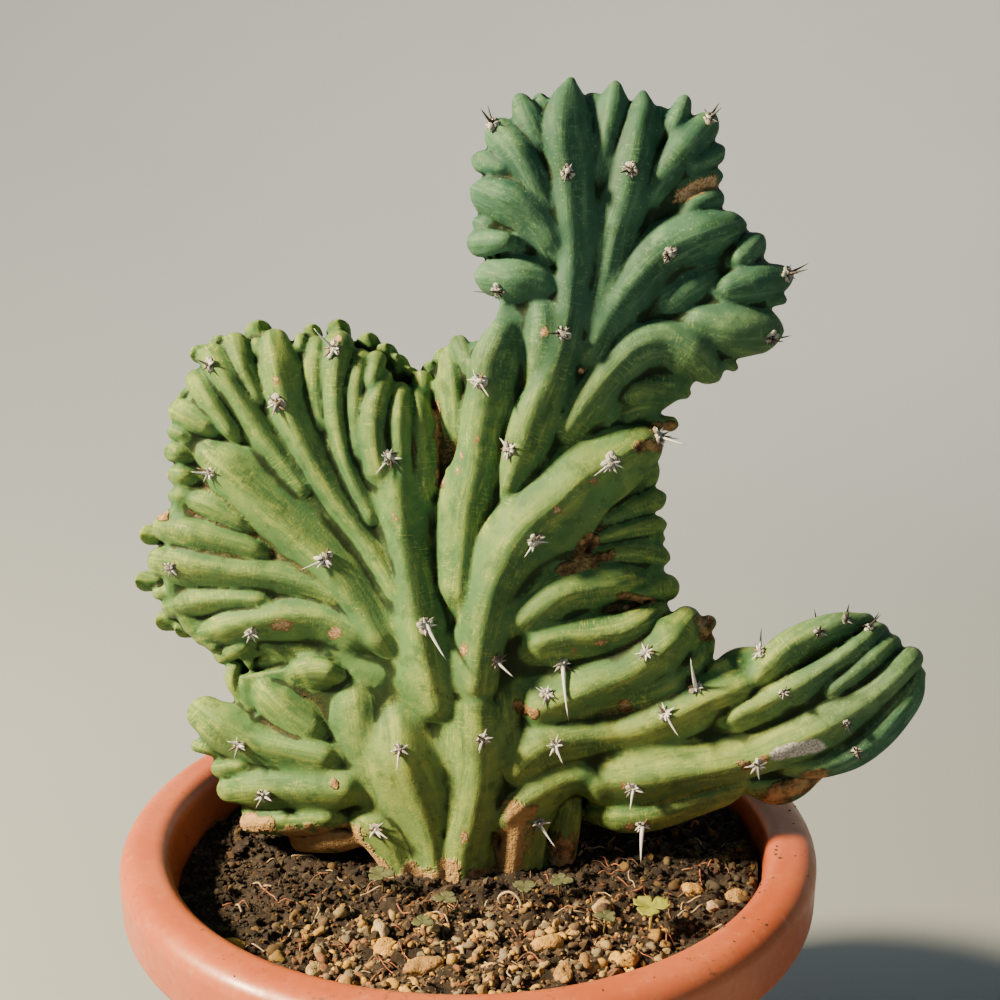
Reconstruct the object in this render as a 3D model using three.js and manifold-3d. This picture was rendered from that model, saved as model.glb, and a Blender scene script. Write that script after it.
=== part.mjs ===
// A crested myrtillocactus in a terracotta-coloured pot. Millimetres, +Z up, origin at the
// centre of the pot's underside, +X to the right and +Y away from the front of the plant.
import * as THREE from "three";
import { mergeVertices } from "three/addons/utils/BufferGeometryUtils.js";
import Module from "manifold-3d";

const wasm = await Module();
wasm.setup();

// Driving dimensions
const GAP = 0.35; // clearance between touching pieces
const POT_HEIGHT = 190; // floor to the top of the rim
const RIM_RADIUS = 140; // outside of the rolled rim
const LIP_RADIUS = 120; // inside of the rim at its top
const RIM_DEPTH = 26; // height of the rolled band
const WALL_TOP_RADIUS = 121.5; // outside of the wall just under the band
const BASE_RADIUS = 88; // outside of the underside
const WALL = 3; // pot wall and floor thickness
const DRAIN_RADIUS = 5; // drainage holes
const DRAIN_RING = 52; // their distance from the centre
const DRAIN_COUNT = 6;
const SOIL_LEVEL = 175; // mean height of the soil
const SOIL_TILT = 0.035; // rise of the soil per millimetre to the right
const FAN_EDGE = 13.5; // half thickness of the crest near its growing edge
const TIP_LENGTH = 17; // length over which a rib's tip rounds off
const WAVE = 4; // depth of the crest's slow waves
const FAN_HEART = 13; // extra half thickness at the trunk
const ROOF = 1.15; // height of a rib's ridge over its sides, in half widths
const ROOT_DEPTH = 40; // how far the root goes under the soil
const SPINE_RADIUS = 0.75;
const FOOT_GAP = 1; // room round the foot of the trunk
const FLESH_TRIANGLES = 7400; // fineness of the cactus surface

// The shoot's outlines are drawn on the upright plane y = 0 as seen from this point, and a
// point that lies nearer or further slides along its line of sight.
const EYE = new THREE.Vector3(12.5, -560, 476.5);

// Each rib: name, how far its ridge stands out of the fan, the lean of its ridge [x, z],
// its back depth (0 for the fan's own), stations [x, z, half width] from tip to base, and
// where they differ the length of its rounded tip and true where its base stays proud.
const RIBS = [
  // crown
  ["crown_main", 3, [-0.5, 0], 0, [[38, 483, 2.4], [37, 475, 6.5], [37, 465, 9], [39, 450, 8.2],
    [40, 435, 7.6], [41, 420, 5.8], [40, 405, 5.6], [38, 390, 5.8], [34, 375, 7], [28, 360, 8.5],
    [22, 342, 7], [17, 330, 5], [13, 320, 3.5]]],
  ["crown_a1", 0, [0, 0.2], 0, [[13, 464, 5.5], [19, 456, 6.2], [25, 446, 5.4], [31, 436, 4.4],
    [36, 424, 3.4]]],
  ["crown_a2", -1, [0, 0], 0, [[20, 473, 4.2], [23, 468, 5.2], [27, 460, 4.6], [31, 450, 3.6]]],
  ["crown_a3", -2, [0, 0], 0, [[5.5, 453, 4.2], [13, 451, 4.4], [21, 448, 3.6]]],
  ["crown_a4", 1, [0, 0.2], 0, [[8, 441, 7.2], [20, 436, 7.4], [31, 425, 6], [37, 412, 4.4]]],
  ["crown_a5", -3, [0, 0], 0, [[4, 431, 3.4], [12, 430, 3.8]]],
  ["crown_a6", -2, [0, 0], 0, [[5, 423.5, 5], [15, 424, 4.8], [24, 422, 3.6]]],
  ["crown_a7", 0, [0, 0], 0, [[9, 411, 6.6], [20, 410, 7.2], [29, 408, 6], [35, 400, 4.6]]],
  ["crown_a8", -3, [0, 0], 0, [[17, 398, 3.2], [24, 393, 4]]],
  ["crown_b1", -1, [0, 0], 0, [[53, 479, 3.4], [53, 472, 4.7], [51, 463, 4.5], [49, 452, 3.8],
    [48, 440, 3.6]]],
  ["crown_b2", 2, [0.1, 0], 0, [[64, 476, 3], [63, 468, 5.8], [61, 455, 8.6], [58, 440, 9],
    [54, 425, 6.4], [51, 410, 5], [47, 395, 4.6], [43, 380, 4.4]]],
  ["crown_b3", -2, [0, 0], 0, [[78, 473, 4.2], [75, 466, 4.4], [71, 457, 4]]],
  ["crown_b4", 0, [0, 0.2], 0, [[87, 466, 4.6], [81, 459, 6.2], [75, 451, 5.8], [69, 442, 4.6],
    [65, 431, 3.6]]],
  ["crown_b5", -2, [0, 0], 0, [[91, 456, 4.2], [84, 452, 4.2], [77, 446, 3.8]]],
  ["crown_b6", -5, [0, 0], 0, [[91, 447.5, 3.4], [82, 446, 4.4], [73, 440, 4.4]]],
  ["crown_b7", -2, [0, 0], 0, [[91, 439.5, 4.2], [84, 437, 4.2], [75, 432, 4]]],
  ["crown_c1", 2, [-0.1, 0.2], 0, [[98, 429, 6], [88, 426, 8.2], [75, 420, 9], [64, 409, 8.6],
    [54, 396, 6.8], [47, 383, 5.4], [42, 372, 4.4]]],
  ["crown_c2", 0, [0, 0], 0, [[107, 423, 5.5], [102, 418, 5.2], [95, 413, 4.6]]],
  ["crown_c3", -2, [0, 0], 0, [[110, 416, 2.8], [102, 414, 3.4]]],
  ["crown_c4", 1, [0, 0.2], 0, [[117, 410.5, 5], [108, 409, 6.6], [98, 407, 6.2], [88, 403, 5]]],
  ["crown_c5", -2, [0, 0], 0, [[118, 402.5, 2.8], [109, 400.5, 3.6]]],
  ["crown_c6", 1, [0, 0.1], 0, [[111, 391, 8.6], [99, 392, 9.4], [87, 394, 8], [75, 395, 6]]],
  ["crown_c7", -3, [0, 0], 0, [[101, 377, 3.2], [94, 380, 4.4]]],
  ["crown_c8", 2, [-0.1, 0.3], 0, [[92, 375.5, 5.5], [85, 382, 8], [76, 386, 7.2], [66, 384, 7.2],
    [56, 375, 7.2], [47, 364, 6.6], [40, 354, 5.4], [34, 344, 4.4]]],
  // neck
  ["neck_a1", 0, [0, 0], 0, [[28, 403, 5.5], [29, 390, 6.6], [27, 376, 5.6], [23, 363, 4.2]]],
  ["neck_a2", 2, [-0.6, 0], 0, [[16, 390, 7], [12, 380, 9.6], [11, 365, 10], [8.5, 350, 9.7],
    [6.5, 335, 9.4], [3, 320, 9.2], [1, 303, 8.7], [-0.5, 287, 7.8], [-1.5, 271, 6]]],
  ["neck_a3", -3, [0, 0], 0, [[3.5, 385, 3.2], [3, 375, 3.6]]],
  ["neck_a4", -2, [0, 0], 0, [[-3, 386, 3.5], [0, 378, 4], [1, 368, 3.8]]],
  ["neck_a5", -2, [0, 0], 0, [[-6, 381, 4.5], [-5, 370, 5.2], [-4, 356, 4.8], [-4, 340, 4.4]]],
  ["neck_b1", -4, [0, 0], 0, [[83, 367, 3.8], [75, 366, 4.4]]],
  ["neck_b2", -1, [0, 0.1], 0, [[74, 367, 5.4], [65, 367, 6], [55, 363, 5]]],
  ["neck_b3", -5, [0, 0], 0, [[78, 355, 4.6], [69, 357, 5]]],
  ["neck_b4", -6, [0, 0], 0, [[72.5, 347, 3], [65, 347, 3.8]]],
  ["neck_main", 6, [-0.15, 0.2], 0, [[68, 347, 8], [57, 339, 12.4], [46, 332, 14], [36, 322, 14],
    [24, 311, 13.5], [15, 297, 11.7], [9, 281, 10], [5.5, 264, 8.2], [3, 247, 5.6]], 12, true],
  ["neck_c0", -5, [0, 0], 0, [[68, 336, 6.8], [60, 331, 7], [50, 325, 6.4]]],
  ["neck_c1", -7, [0, 0], 0, [[73, 325.5, 4.4], [65, 322, 4.2], [57, 318, 4], [49, 314, 3.8]]],
  ["neck_c2", -7, [0, 0], 0, [[74, 315, 3.7], [66, 314, 4.2], [57, 311.5, 4.4], [47, 308, 4]]],
  ["neck_c3", -9, [0, 0], 0, [[75.5, 309.5, 2.8], [68, 308.5, 3.2]]],
  ["neck_c4", -6, [0, 0], 0, [[75, 302, 4.5], [67, 303.5, 4.9], [57, 303, 5], [45, 301.5, 4.6]]],
  ["neck_c5", -8, [0, 0], 0, [[75, 296, 3.6], [68, 296, 3.8]]],
  ["neck_c6", 0, [0, -0.35], 0, [[70, 294, 4.4], [61, 292.5, 7], [50, 291, 8.8], [38.5, 289, 10.4],
    [29, 283, 10.4], [21, 276, 9.6], [14, 267, 8.2]]],
  ["neck_c7", -5, [0, 0], 0, [[78, 289.5, 5.4], [69, 287.5, 5.4], [59, 285, 5]]],
  ["neck_c8", -8, [0, 0], 0, [[66, 281, 3], [57, 280.5, 4], [46, 280, 4]]],
  ["neck_c9", -2, [0, 0], 0, [[75, 280, 4.5], [70, 275.5, 6.3], [61, 271, 7.4], [50, 268.8, 8.4],
    [38.5, 268.3, 8.8], [28, 266, 8], [18, 263, 6.8]]],
  ["bough_a1", 3, [0.2, -0.25], 0, [[86.5, 276.5, 5.4], [80, 268.5, 7.5], [71, 260, 8.7],
    [61, 253.5, 9.2], [51, 249.5, 8.6], [44.5, 247, 6.2]], 15, true],
  ["bough_stub", -6, [0, 0], 0, [[95, 275, 3.4], [91, 269, 4.6], [86, 262, 5.2]]],
  ["bough_a2", -2, [0, 0.1], 0, [[21.5, 237.5, 4.2], [25, 240, 6.1], [31, 241, 7.7], [40, 242.5, 8.8],
    [50, 242, 9.6], [60, 243, 9.4], [71, 245, 9.4], [81, 249, 8.8], [88.5, 256, 7]]],
  ["bough_a3", -7, [0, 0], 0, [[93, 267, 5], [91, 259, 8], [88, 251, 8]]],
  // arm
  ["arm_a1", 1, [0, 0.1], 0, [[119, 249.5, 3.6], [112, 247.5, 5.9], [103, 244, 7.8], [94, 240, 9.2],
    [84, 234.5, 9.6], [73, 229.5, 8.7], [61, 226.5, 7.8], [50, 225, 8.4], [42, 224, 10.2],
    [33, 222, 10.5], [25, 217, 8.8], [19, 209, 6.8], [15.5, 201, 5]]],
  ["arm_a2", -2, [-0.4, 0.5], 0, [[157, 274, 4.2], [150, 271.5, 6.1], [140, 265.5, 7.9],
    [131, 258.5, 8.9], [124, 251, 8.4], [115, 244, 7.2], [103, 238, 6.4]]],
  ["arm_a3", 0, [-0.2, 0.3], 0, [[162.5, 270.5, 4.5], [156, 264.5, 5.1], [147, 257, 5.8],
    [138, 250, 6.6], [130, 244.5, 7.2], [120, 238.5, 7.4], [109, 233.5, 7], [97, 229.5, 6.2]]],
  ["arm_a4", -1, [0, 0], 0, [[168, 266, 4.1], [162, 260.5, 4.6], [155, 254, 4.9], [147, 247, 5.2],
    [138, 240.5, 5.4]]],
  ["arm_a5", 2, [0.1, -0.7], 0, [[176, 260, 5], [170, 253.5, 6.1], [163, 247, 6.8], [155, 241.5, 8.2],
    [147, 236.5, 9.6], [138, 231.5, 10.2], [128, 226.5, 10.5], [115, 220.5, 10.5], [100, 217, 11],
    [85, 214.5, 11], [72, 212, 10.5], [61, 210.5, 9.2], [53, 208.5, 6.4]], 15, true],
  ["arm_a6", -2, [0.5, -0.5], 4, [[178, 253, 4.2], [175.5, 246, 6.6], [169, 237, 8.4],
    [161.5, 228, 8.9], [153, 221, 8.7], [144, 216.5, 7.6], [134, 213.5, 6.8], [123, 211.5, 6.6]]],
  ["arm_a7", -1, [0, -0.6], 3, [[52.5, 193.5, 6], [60, 193.5, 8.6], [70, 194, 9.5], [80, 196.5, 9.5],
    [90, 200, 9], [100, 203.5, 8.6], [110, 206.5, 7.8], [121, 209.5, 6.8]]],
  ["arm_a8", -5, [0, 0], 2, [[140, 209.5, 4], [134, 206, 6.2], [127, 203.5, 7.4], [118, 204, 7.2],
    [108, 205, 6.4]]],
  // trunk
  ["trunk_a1", 2, [0.2, 0], 0, [[2, 241, 9], [2, 226, 10.4], [2, 212, 10.2], [1, 200, 9.8],
    [-1, 188, 9.8], [-4, 176, 10], [-5, 163, 9.6], [-5, 150, 9]], 5, true],
  ["trunk_a2", -5, [0, 0], 0, [[13, 248, 8], [14, 232, 9.5], [14, 216, 9.5], [12, 200, 9],
    [10, 184, 9], [8, 167, 9], [8, 150, 9]], 15, true],
  ["trunk_a3", 0, [0, 0], 0, [[53, 209, 4.4], [43, 208, 5.4], [32, 203, 6.4], [22, 196, 7.4],
    [15, 189, 7]], 8, true],
  ["trunk_a4", -1, [0, 0], 0, [[19, 193, 6.6], [19, 184, 6.8], [18, 172, 6], [17, 160, 5.4],
    [17, 150, 5]], 15, true],
  ["trunk_a5", -8, [0, 0], 12, [[41, 200, 5], [40, 188, 5.4], [38.5, 174, 5.4], [37, 160, 5],
    [36, 150, 5]], 15, true],
  ["trunk_b1", 4, [0.2, 0], 0, [[-31, 245, 5.4], [-29, 230, 9.8], [-28, 215, 12], [-24, 203, 10],
    [-20, 191, 8], [-17, 179, 6.4], [-15, 165, 6], [-14, 150, 6]], 15, true],
  ["trunk_b2", -1, [0, 0], 0, [[-48, 192, 5.6], [-42, 188, 8.2], [-34, 180, 9.2], [-29, 169, 8],
    [-28, 157, 7], [-28, 150, 6.6]], 15, true],
  ["trunk_b3", -2, [0, 0], 0, [[-46, 256, 10], [-45, 240, 12.4], [-43, 223, 12], [-40, 207, 10],
    [-36, 192, 9]], 15, true],
  // left lobe, top
  ["left_a1", 3, [-0.25, 0], 0, [[-27, 350, 8.6], [-26, 330, 10.6], [-24, 311, 10.3], [-22, 295, 9.9],
    [-20, 280, 9.4], [-17.5, 265, 8.6], [-15, 252, 7], [-12, 238, 4.8]], 15, true],
  ["left_a2", 3, [0, 0], 0, [[-32, 373, 3.8], [-35, 362, 5.2], [-36, 350, 6.2], [-34, 337, 6.2]]],
  ["left_a3", 2, [0, 0], 0, [[-25.5, 368, 3.8], [-26, 358, 4.7], [-26, 345, 4.8]]],
  ["left_a4", 0, [0, 0], 0, [[-19, 367, 3.4], [-18, 357, 4.5], [-18, 345, 4.8], [-17, 331, 5],
    [-15, 316, 5]]],
  ["left_b1", 1, [0, 0], 0, [[-48, 386, 5.4], [-50, 372, 5.4], [-50, 358, 5.4], [-48, 345, 5.2],
    [-44, 332, 4.8], [-38, 319, 4.2]]],
  ["left_b2", 0, [0, 0], 0, [[-40, 381, 3.4], [-42, 370, 3.8], [-42.5, 357, 3.8], [-41, 344, 3.8],
    [-37, 331, 3.8]]],
  ["left_b3", 0, [0, 0], 0, [[-34, 380, 3.6], [-36, 371, 3.8], [-37, 361, 3.6]]],
  ["left_b4", -1, [0, 0], 0, [[-56.5, 386, 3.2], [-57.5, 376, 3.9], [-57.5, 366, 3.9], [-56, 355, 3.7],
    [-52, 344, 3.5]]],
  ["left_b5", 3, [-0.5, 0], 0, [[-72, 387, 5], [-70, 376, 7.6], [-67, 363, 8.4], [-62, 350, 8.4],
    [-56, 337, 7.8], [-49, 325, 6.4], [-41, 312, 5], [-33, 299, 4.4]]],
  ["left_b6", -2, [0, 0], 0, [[-62.5, 388, 3.4], [-63, 379, 3.6]]],
  ["left_b7", -2, [0, 0], 0, [[-79, 386, 3.2], [-79, 374, 3.6]]],
  ["left_b8", 0, [0, 0], 0, [[-87, 386, 4.6], [-85, 377, 5.2], [-80, 366, 4.9], [-75, 356, 4.4]]],
  ["left_b9", 1, [-0.2, 0], 0, [[-96, 381, 5.4], [-90, 371, 6], [-84, 361, 6], [-78, 351, 5.8],
    [-71, 341, 5.6], [-64, 331, 5], [-56, 320, 4.6]]],
  ["left_b10", 0, [0, 0], 0, [[-102, 372, 4.6], [-97, 363, 5.2], [-91, 353, 5.2], [-85, 345, 4.8]]],
  ["left_c1", 4, [-0.5, -0.5], 0, [[-98, 345, 6.8], [-88, 337, 10], [-76, 326, 12], [-62, 313, 12.4],
    [-50, 299, 11.4], [-41, 285, 10], [-33, 270, 8.6], [-26, 256, 6.6]]],
  // left lobe, edge
  ["edge_a1", -1, [0, 0], 0, [[-109, 360, 5], [-100, 355, 5.2], [-91, 348, 5]]],
  ["edge_a2", -3, [0, 0], 0, [[-112, 352, 3.6], [-103, 348.5, 4.4]]],
  ["edge_a3", -1, [0, 0], 0, [[-113, 345, 4.8], [-103, 341.5, 5.2]]],
  ["edge_a4", -2, [0, 0], 0, [[-112, 334, 4.2], [-102, 333.5, 5]]],
  ["edge_a5", -3, [0, 0], 0, [[-114, 325, 3.4], [-105, 326, 4]]],
  ["edge_a6", -1, [0, 0], 0, [[-109, 326, 3.8], [-100, 322.5, 5.2], [-90, 317, 5.5], [-78, 308, 5]]],
  ["edge_a7", 0, [0, 0.1], 0, [[-117, 314, 5.8], [-106, 311, 6.7], [-95, 308, 6.5], [-84, 304.5, 5.9],
    [-72, 300, 5.2]]],
  ["edge_a8", 1, [0, 0.1], 0, [[-120, 300, 5.8], [-108, 298, 6.7], [-95, 296, 6.5], [-80, 294, 6.3],
    [-66, 291, 6.3], [-54, 286, 5.6], [-45, 278, 5]]],
  ["edge_a9", -3, [0, 0], 0, [[-122, 287, 3.6], [-112, 288.5, 4]]],
  ["edge_a10", -1, [0, 0], 0, [[-117, 281, 4.2], [-108, 283.5, 5], [-96, 284.5, 5], [-84, 284, 4.8],
    [-70, 282, 4.6]]],
  ["edge_a11", 1, [0, 0.1], 0, [[-105, 270, 4.8], [-96, 272.5, 6.3], [-84, 275, 7], [-70, 277, 7.5],
    [-57, 276, 7.4], [-45, 270.5, 6.8], [-34, 262, 6]]],
  ["edge_a12", -3, [0, 0], 0, [[-98, 261, 3.8], [-91, 264, 4.6], [-82, 267, 4.6]]],
  ["edge_a13", -7, [0, 0], 0, [[-84, 257, 5], [-74, 261, 7], [-60, 263, 8.6]]],
  ["edge_a14", -5, [0, 0], 0, [[-93, 257, 3.4], [-95, 250, 4.2], [-92, 243, 4.8]]],
  ["edge_a15", 0, [0, 0], 0, [[-73, 251.5, 4], [-66, 254, 6.2], [-57, 254, 7], [-47, 250, 8.4]]],
  // left lobe, foot
  ["foot_a1", 0, [0, 0.1], 0, [[-84, 250, 4.6], [-79, 243, 6.3], [-72, 236, 7], [-64, 229, 6.8],
    [-55, 223, 6]]],
  ["foot_a2", -4, [0, 0], 0, [[-91, 245, 3.2], [-87, 237, 4.2]]],
  ["foot_a3", 2, [0, 0.1], 0, [[-106, 236, 7.6], [-98, 229, 8.8], [-86, 222.5, 8.1], [-73, 219, 7.7],
    [-60, 216, 7.4], [-47, 211, 6.8]]],
  ["foot_a4", -3, [0, 0], 0, [[-110, 222, 4], [-101, 218, 4.6]]],
  ["foot_a5", -2, [0, 0], 0, [[-101, 212, 4.4], [-94, 213, 4.7], [-84, 213, 4.6]]],
  ["foot_a6", 2, [0, -0.2], 0, [[-98, 202.5, 5.4], [-88, 203.5, 8], [-76, 203.5, 8.8], [-64, 203, 9],
    [-51, 203, 9], [-38, 200, 8]]],
  ["foot_a7", -4, [0, 0], 0, [[-90, 193.5, 3.6], [-76, 193.5, 4.6], [-60, 193.5, 5.6]]],
  ["foot_a8", 0, [0, 0], 0, [[-90, 187.8, 4.6], [-80, 187.8, 5.2], [-70, 188, 5.3], [-60, 189, 5.4],
    [-47, 191, 6]]],
  ["foot_log", -8, [0, 0], 8, [[-69, 180, 5.4], [-60, 180.5, 6.2], [-48, 181, 6.4], [-37, 182, 6.4]]],
];

// Small tips of the back row that show over the crest: [x, z, half width].
const BACK_TIPS = [
  [-78, 390, 5.4], [-58, 390, 3.8], [-48, 391, 4.6], [-37, 386, 4.6], [-30.5, 383, 3.4],
  [-26.5, 379, 4], [-22, 375, 3.6], [-101, 382, 3.6], [-93, 386, 3.6], [-13, 377, 3.4],
  [-9, 382, 3], [27, 474, 3.2], [45.5, 474, 3.4], [59, 471, 3], [71, 469, 3.4],
  [-124, 311, 4.2], [-127, 292, 4.2], [-120, 275.5, 4.2], [-113, 272, 3.6], [-106, 365, 4.2],
];
const LOBE_BEHIND = [[124, 252, 4.6], [117, 256.5, 6.1], [109, 256.5, 6.6], [101, 253, 6.8],
    [92, 248, 6]];

// The flesh between the ribs: wide lofts that lie DEEP under the ridges.
const DEEP = 9;
const CORES = [
  [[-20, 362, 12], [-24, 345, 22], [-23, 315, 25], [-17, 285, 24], [-10, 255, 22], [-5, 225, 24],
    [-3, 195, 26], [-1, 172, 28], [1, 156, 27]],
  [[-74, 370, 22], [-70, 345, 30], [-58, 315, 34], [-42, 284, 28], [-26, 258, 22]],
  [[-104, 294, 13], [-84, 290, 26], [-60, 280, 28], [-36, 262, 24]],
  [[-92, 219, 12], [-74, 212, 20], [-54, 207, 22], [-32, 202, 24]],
  [[-46, 250, 10], [-30, 236, 20], [-10, 222, 24], [6, 208, 24]],
  [[40, 392, 24], [34, 365, 27], [27, 340, 26], [26, 315, 24], [27, 290, 24], [24, 268, 23],
    [14, 245, 20]],
  [[44, 462, 18], [50, 442, 30], [60, 420, 38], [62, 402, 38], [54, 384, 34], [42, 368, 26]],
  [[-91, 246, 7], [-70, 246, 12], [-50, 240, 14]],
  [[74, 262, 8], [56, 258, 12], [28, 252, 16]],
  [[13, 402, 8], [24, 398, 12], [34, 390, 14]],
  [[8, 238, 12], [36, 234, 10], [66, 236, 8]],
  [[158, 250, 9], [140, 237, 15], [118, 227, 16], [95, 222, 17], [72, 219, 17], [50, 217, 17],
    [28, 211, 14]],
];

// Spine cushions on the ridges: [x, z, length of the long spine, its direction in degrees
// from +X towards +Z].
const AREOLES = [
  [37, 449, 5, 250], [60, 450, 5, 200], [75, 419.5, 5, 240], [88, 468, 6, 40], [119, 412, 8, 15],
  [58, 478, 7, 95], [10, 466, 8, 130], [114, 388, 5, 350], [36, 390, 7, 180], [5, 372, 8, 300],
  [12, 406, 4, 180], [-50, 384, 12, 130], [-97, 378, 6, 150], [-72, 363, 6, 250], [-30, 342, 9, 230],
  [-99, 336, 7, 170], [-56, 301, 10, 200], [-116, 297.5, 4, 180], [-17, 274, 16, 300],
  [55, 340, 9, 215], [26, 309, 8, 235], [73, 350, 11, 345], [5.5, 225, 6, 250], [11, 258.5, 9, 320],
  [31.5, 244.5, 6, 250], [37.5, 258, 22, 272], [35, 222.5, 8, 290], [28.5, 188, 12, 305],
  [-93, 222.5, 6, 250], [-84, 200.5, 6, 240], [-38.5, 185, 7, 330], [-28, 220.5, 9, 260],
  [71, 262, 5, 200], [91, 247, 17, 105], [126, 245, 6, 320], [158.5, 272.5, 8, 60], [149, 276, 5, 88],
  [139, 271, 4, 100], [117, 214, 6, 270], [67, 203.5, 9, 255], [71, 187, 15, 262], [79, 236, 11, 300],
  [152, 232, 5, 290], [157, 219.5, 4, 300], [116, 262, 5, 88], [-86, 271, 4, 200], [16, 345, 3, 200],
];

// Helpers
// A repeatable random number in 0..1 from two whole numbers.
function chance(a, b) {
  const s = Math.sin(a * 127.1 + b * 311.7 + 17.3) * 43758.5453;
  return s - Math.floor(s);
}

// A closed solid from points and triangles.
function solid(points, faces) {
  const made = new wasm.Manifold(
    new wasm.Mesh({
      numProp: 3,
      vertProperties: new Float32Array(points.flat()),
      triVerts: new Uint32Array(faces.flat()),
    }),
  );
  return made.volume() < 0 ? solid(points, faces.map(([a, b, c]) => [a, c, b])) : made;
}

// A closed solid from a three.js geometry.
function solidOf(geometry) {
  const g = geometry.clone();
  g.deleteAttribute("normal");
  g.deleteAttribute("uv");
  const m = mergeVertices(g, 1e-4);
  const p = m.getAttribute("position");
  const points = [];
  for (let i = 0; i < p.count; i++) points.push([p.getX(i), p.getY(i), p.getZ(i)]);
  const faces = [];
  for (let i = 0; i < m.index.count; i += 3)
    faces.push([m.index.getX(i), m.index.getX(i + 1), m.index.getX(i + 2)]);
  return solid(points, faces);
}

// A solid moved by a vector.
function moved(s, by) {
  return solidOf(geometryOf(s).translate(...by));
}

// Only the outer skin of the largest body: sealed pockets inside it are filled.
function outer(s) {
  let best = null;
  for (const b of s.decompose()) if (!best || b.volume() > best.volume()) best = b;
  return best;
}

function geometryOf(s) {
  const m = s.getMesh();
  const flat = new Float32Array(m.numVert * 3);
  for (let i = 0; i < m.numVert; i++)
    flat.set(m.vertProperties.subarray(i * m.numProp, i * m.numProp + 3), i * 3);
  const g = new THREE.BufferGeometry();
  g.setAttribute("position", new THREE.BufferAttribute(flat, 3));
  g.setIndex(new THREE.BufferAttribute(new Uint32Array(m.triVerts), 1));
  g.computeVertexNormals();
  return g;
}

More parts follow.
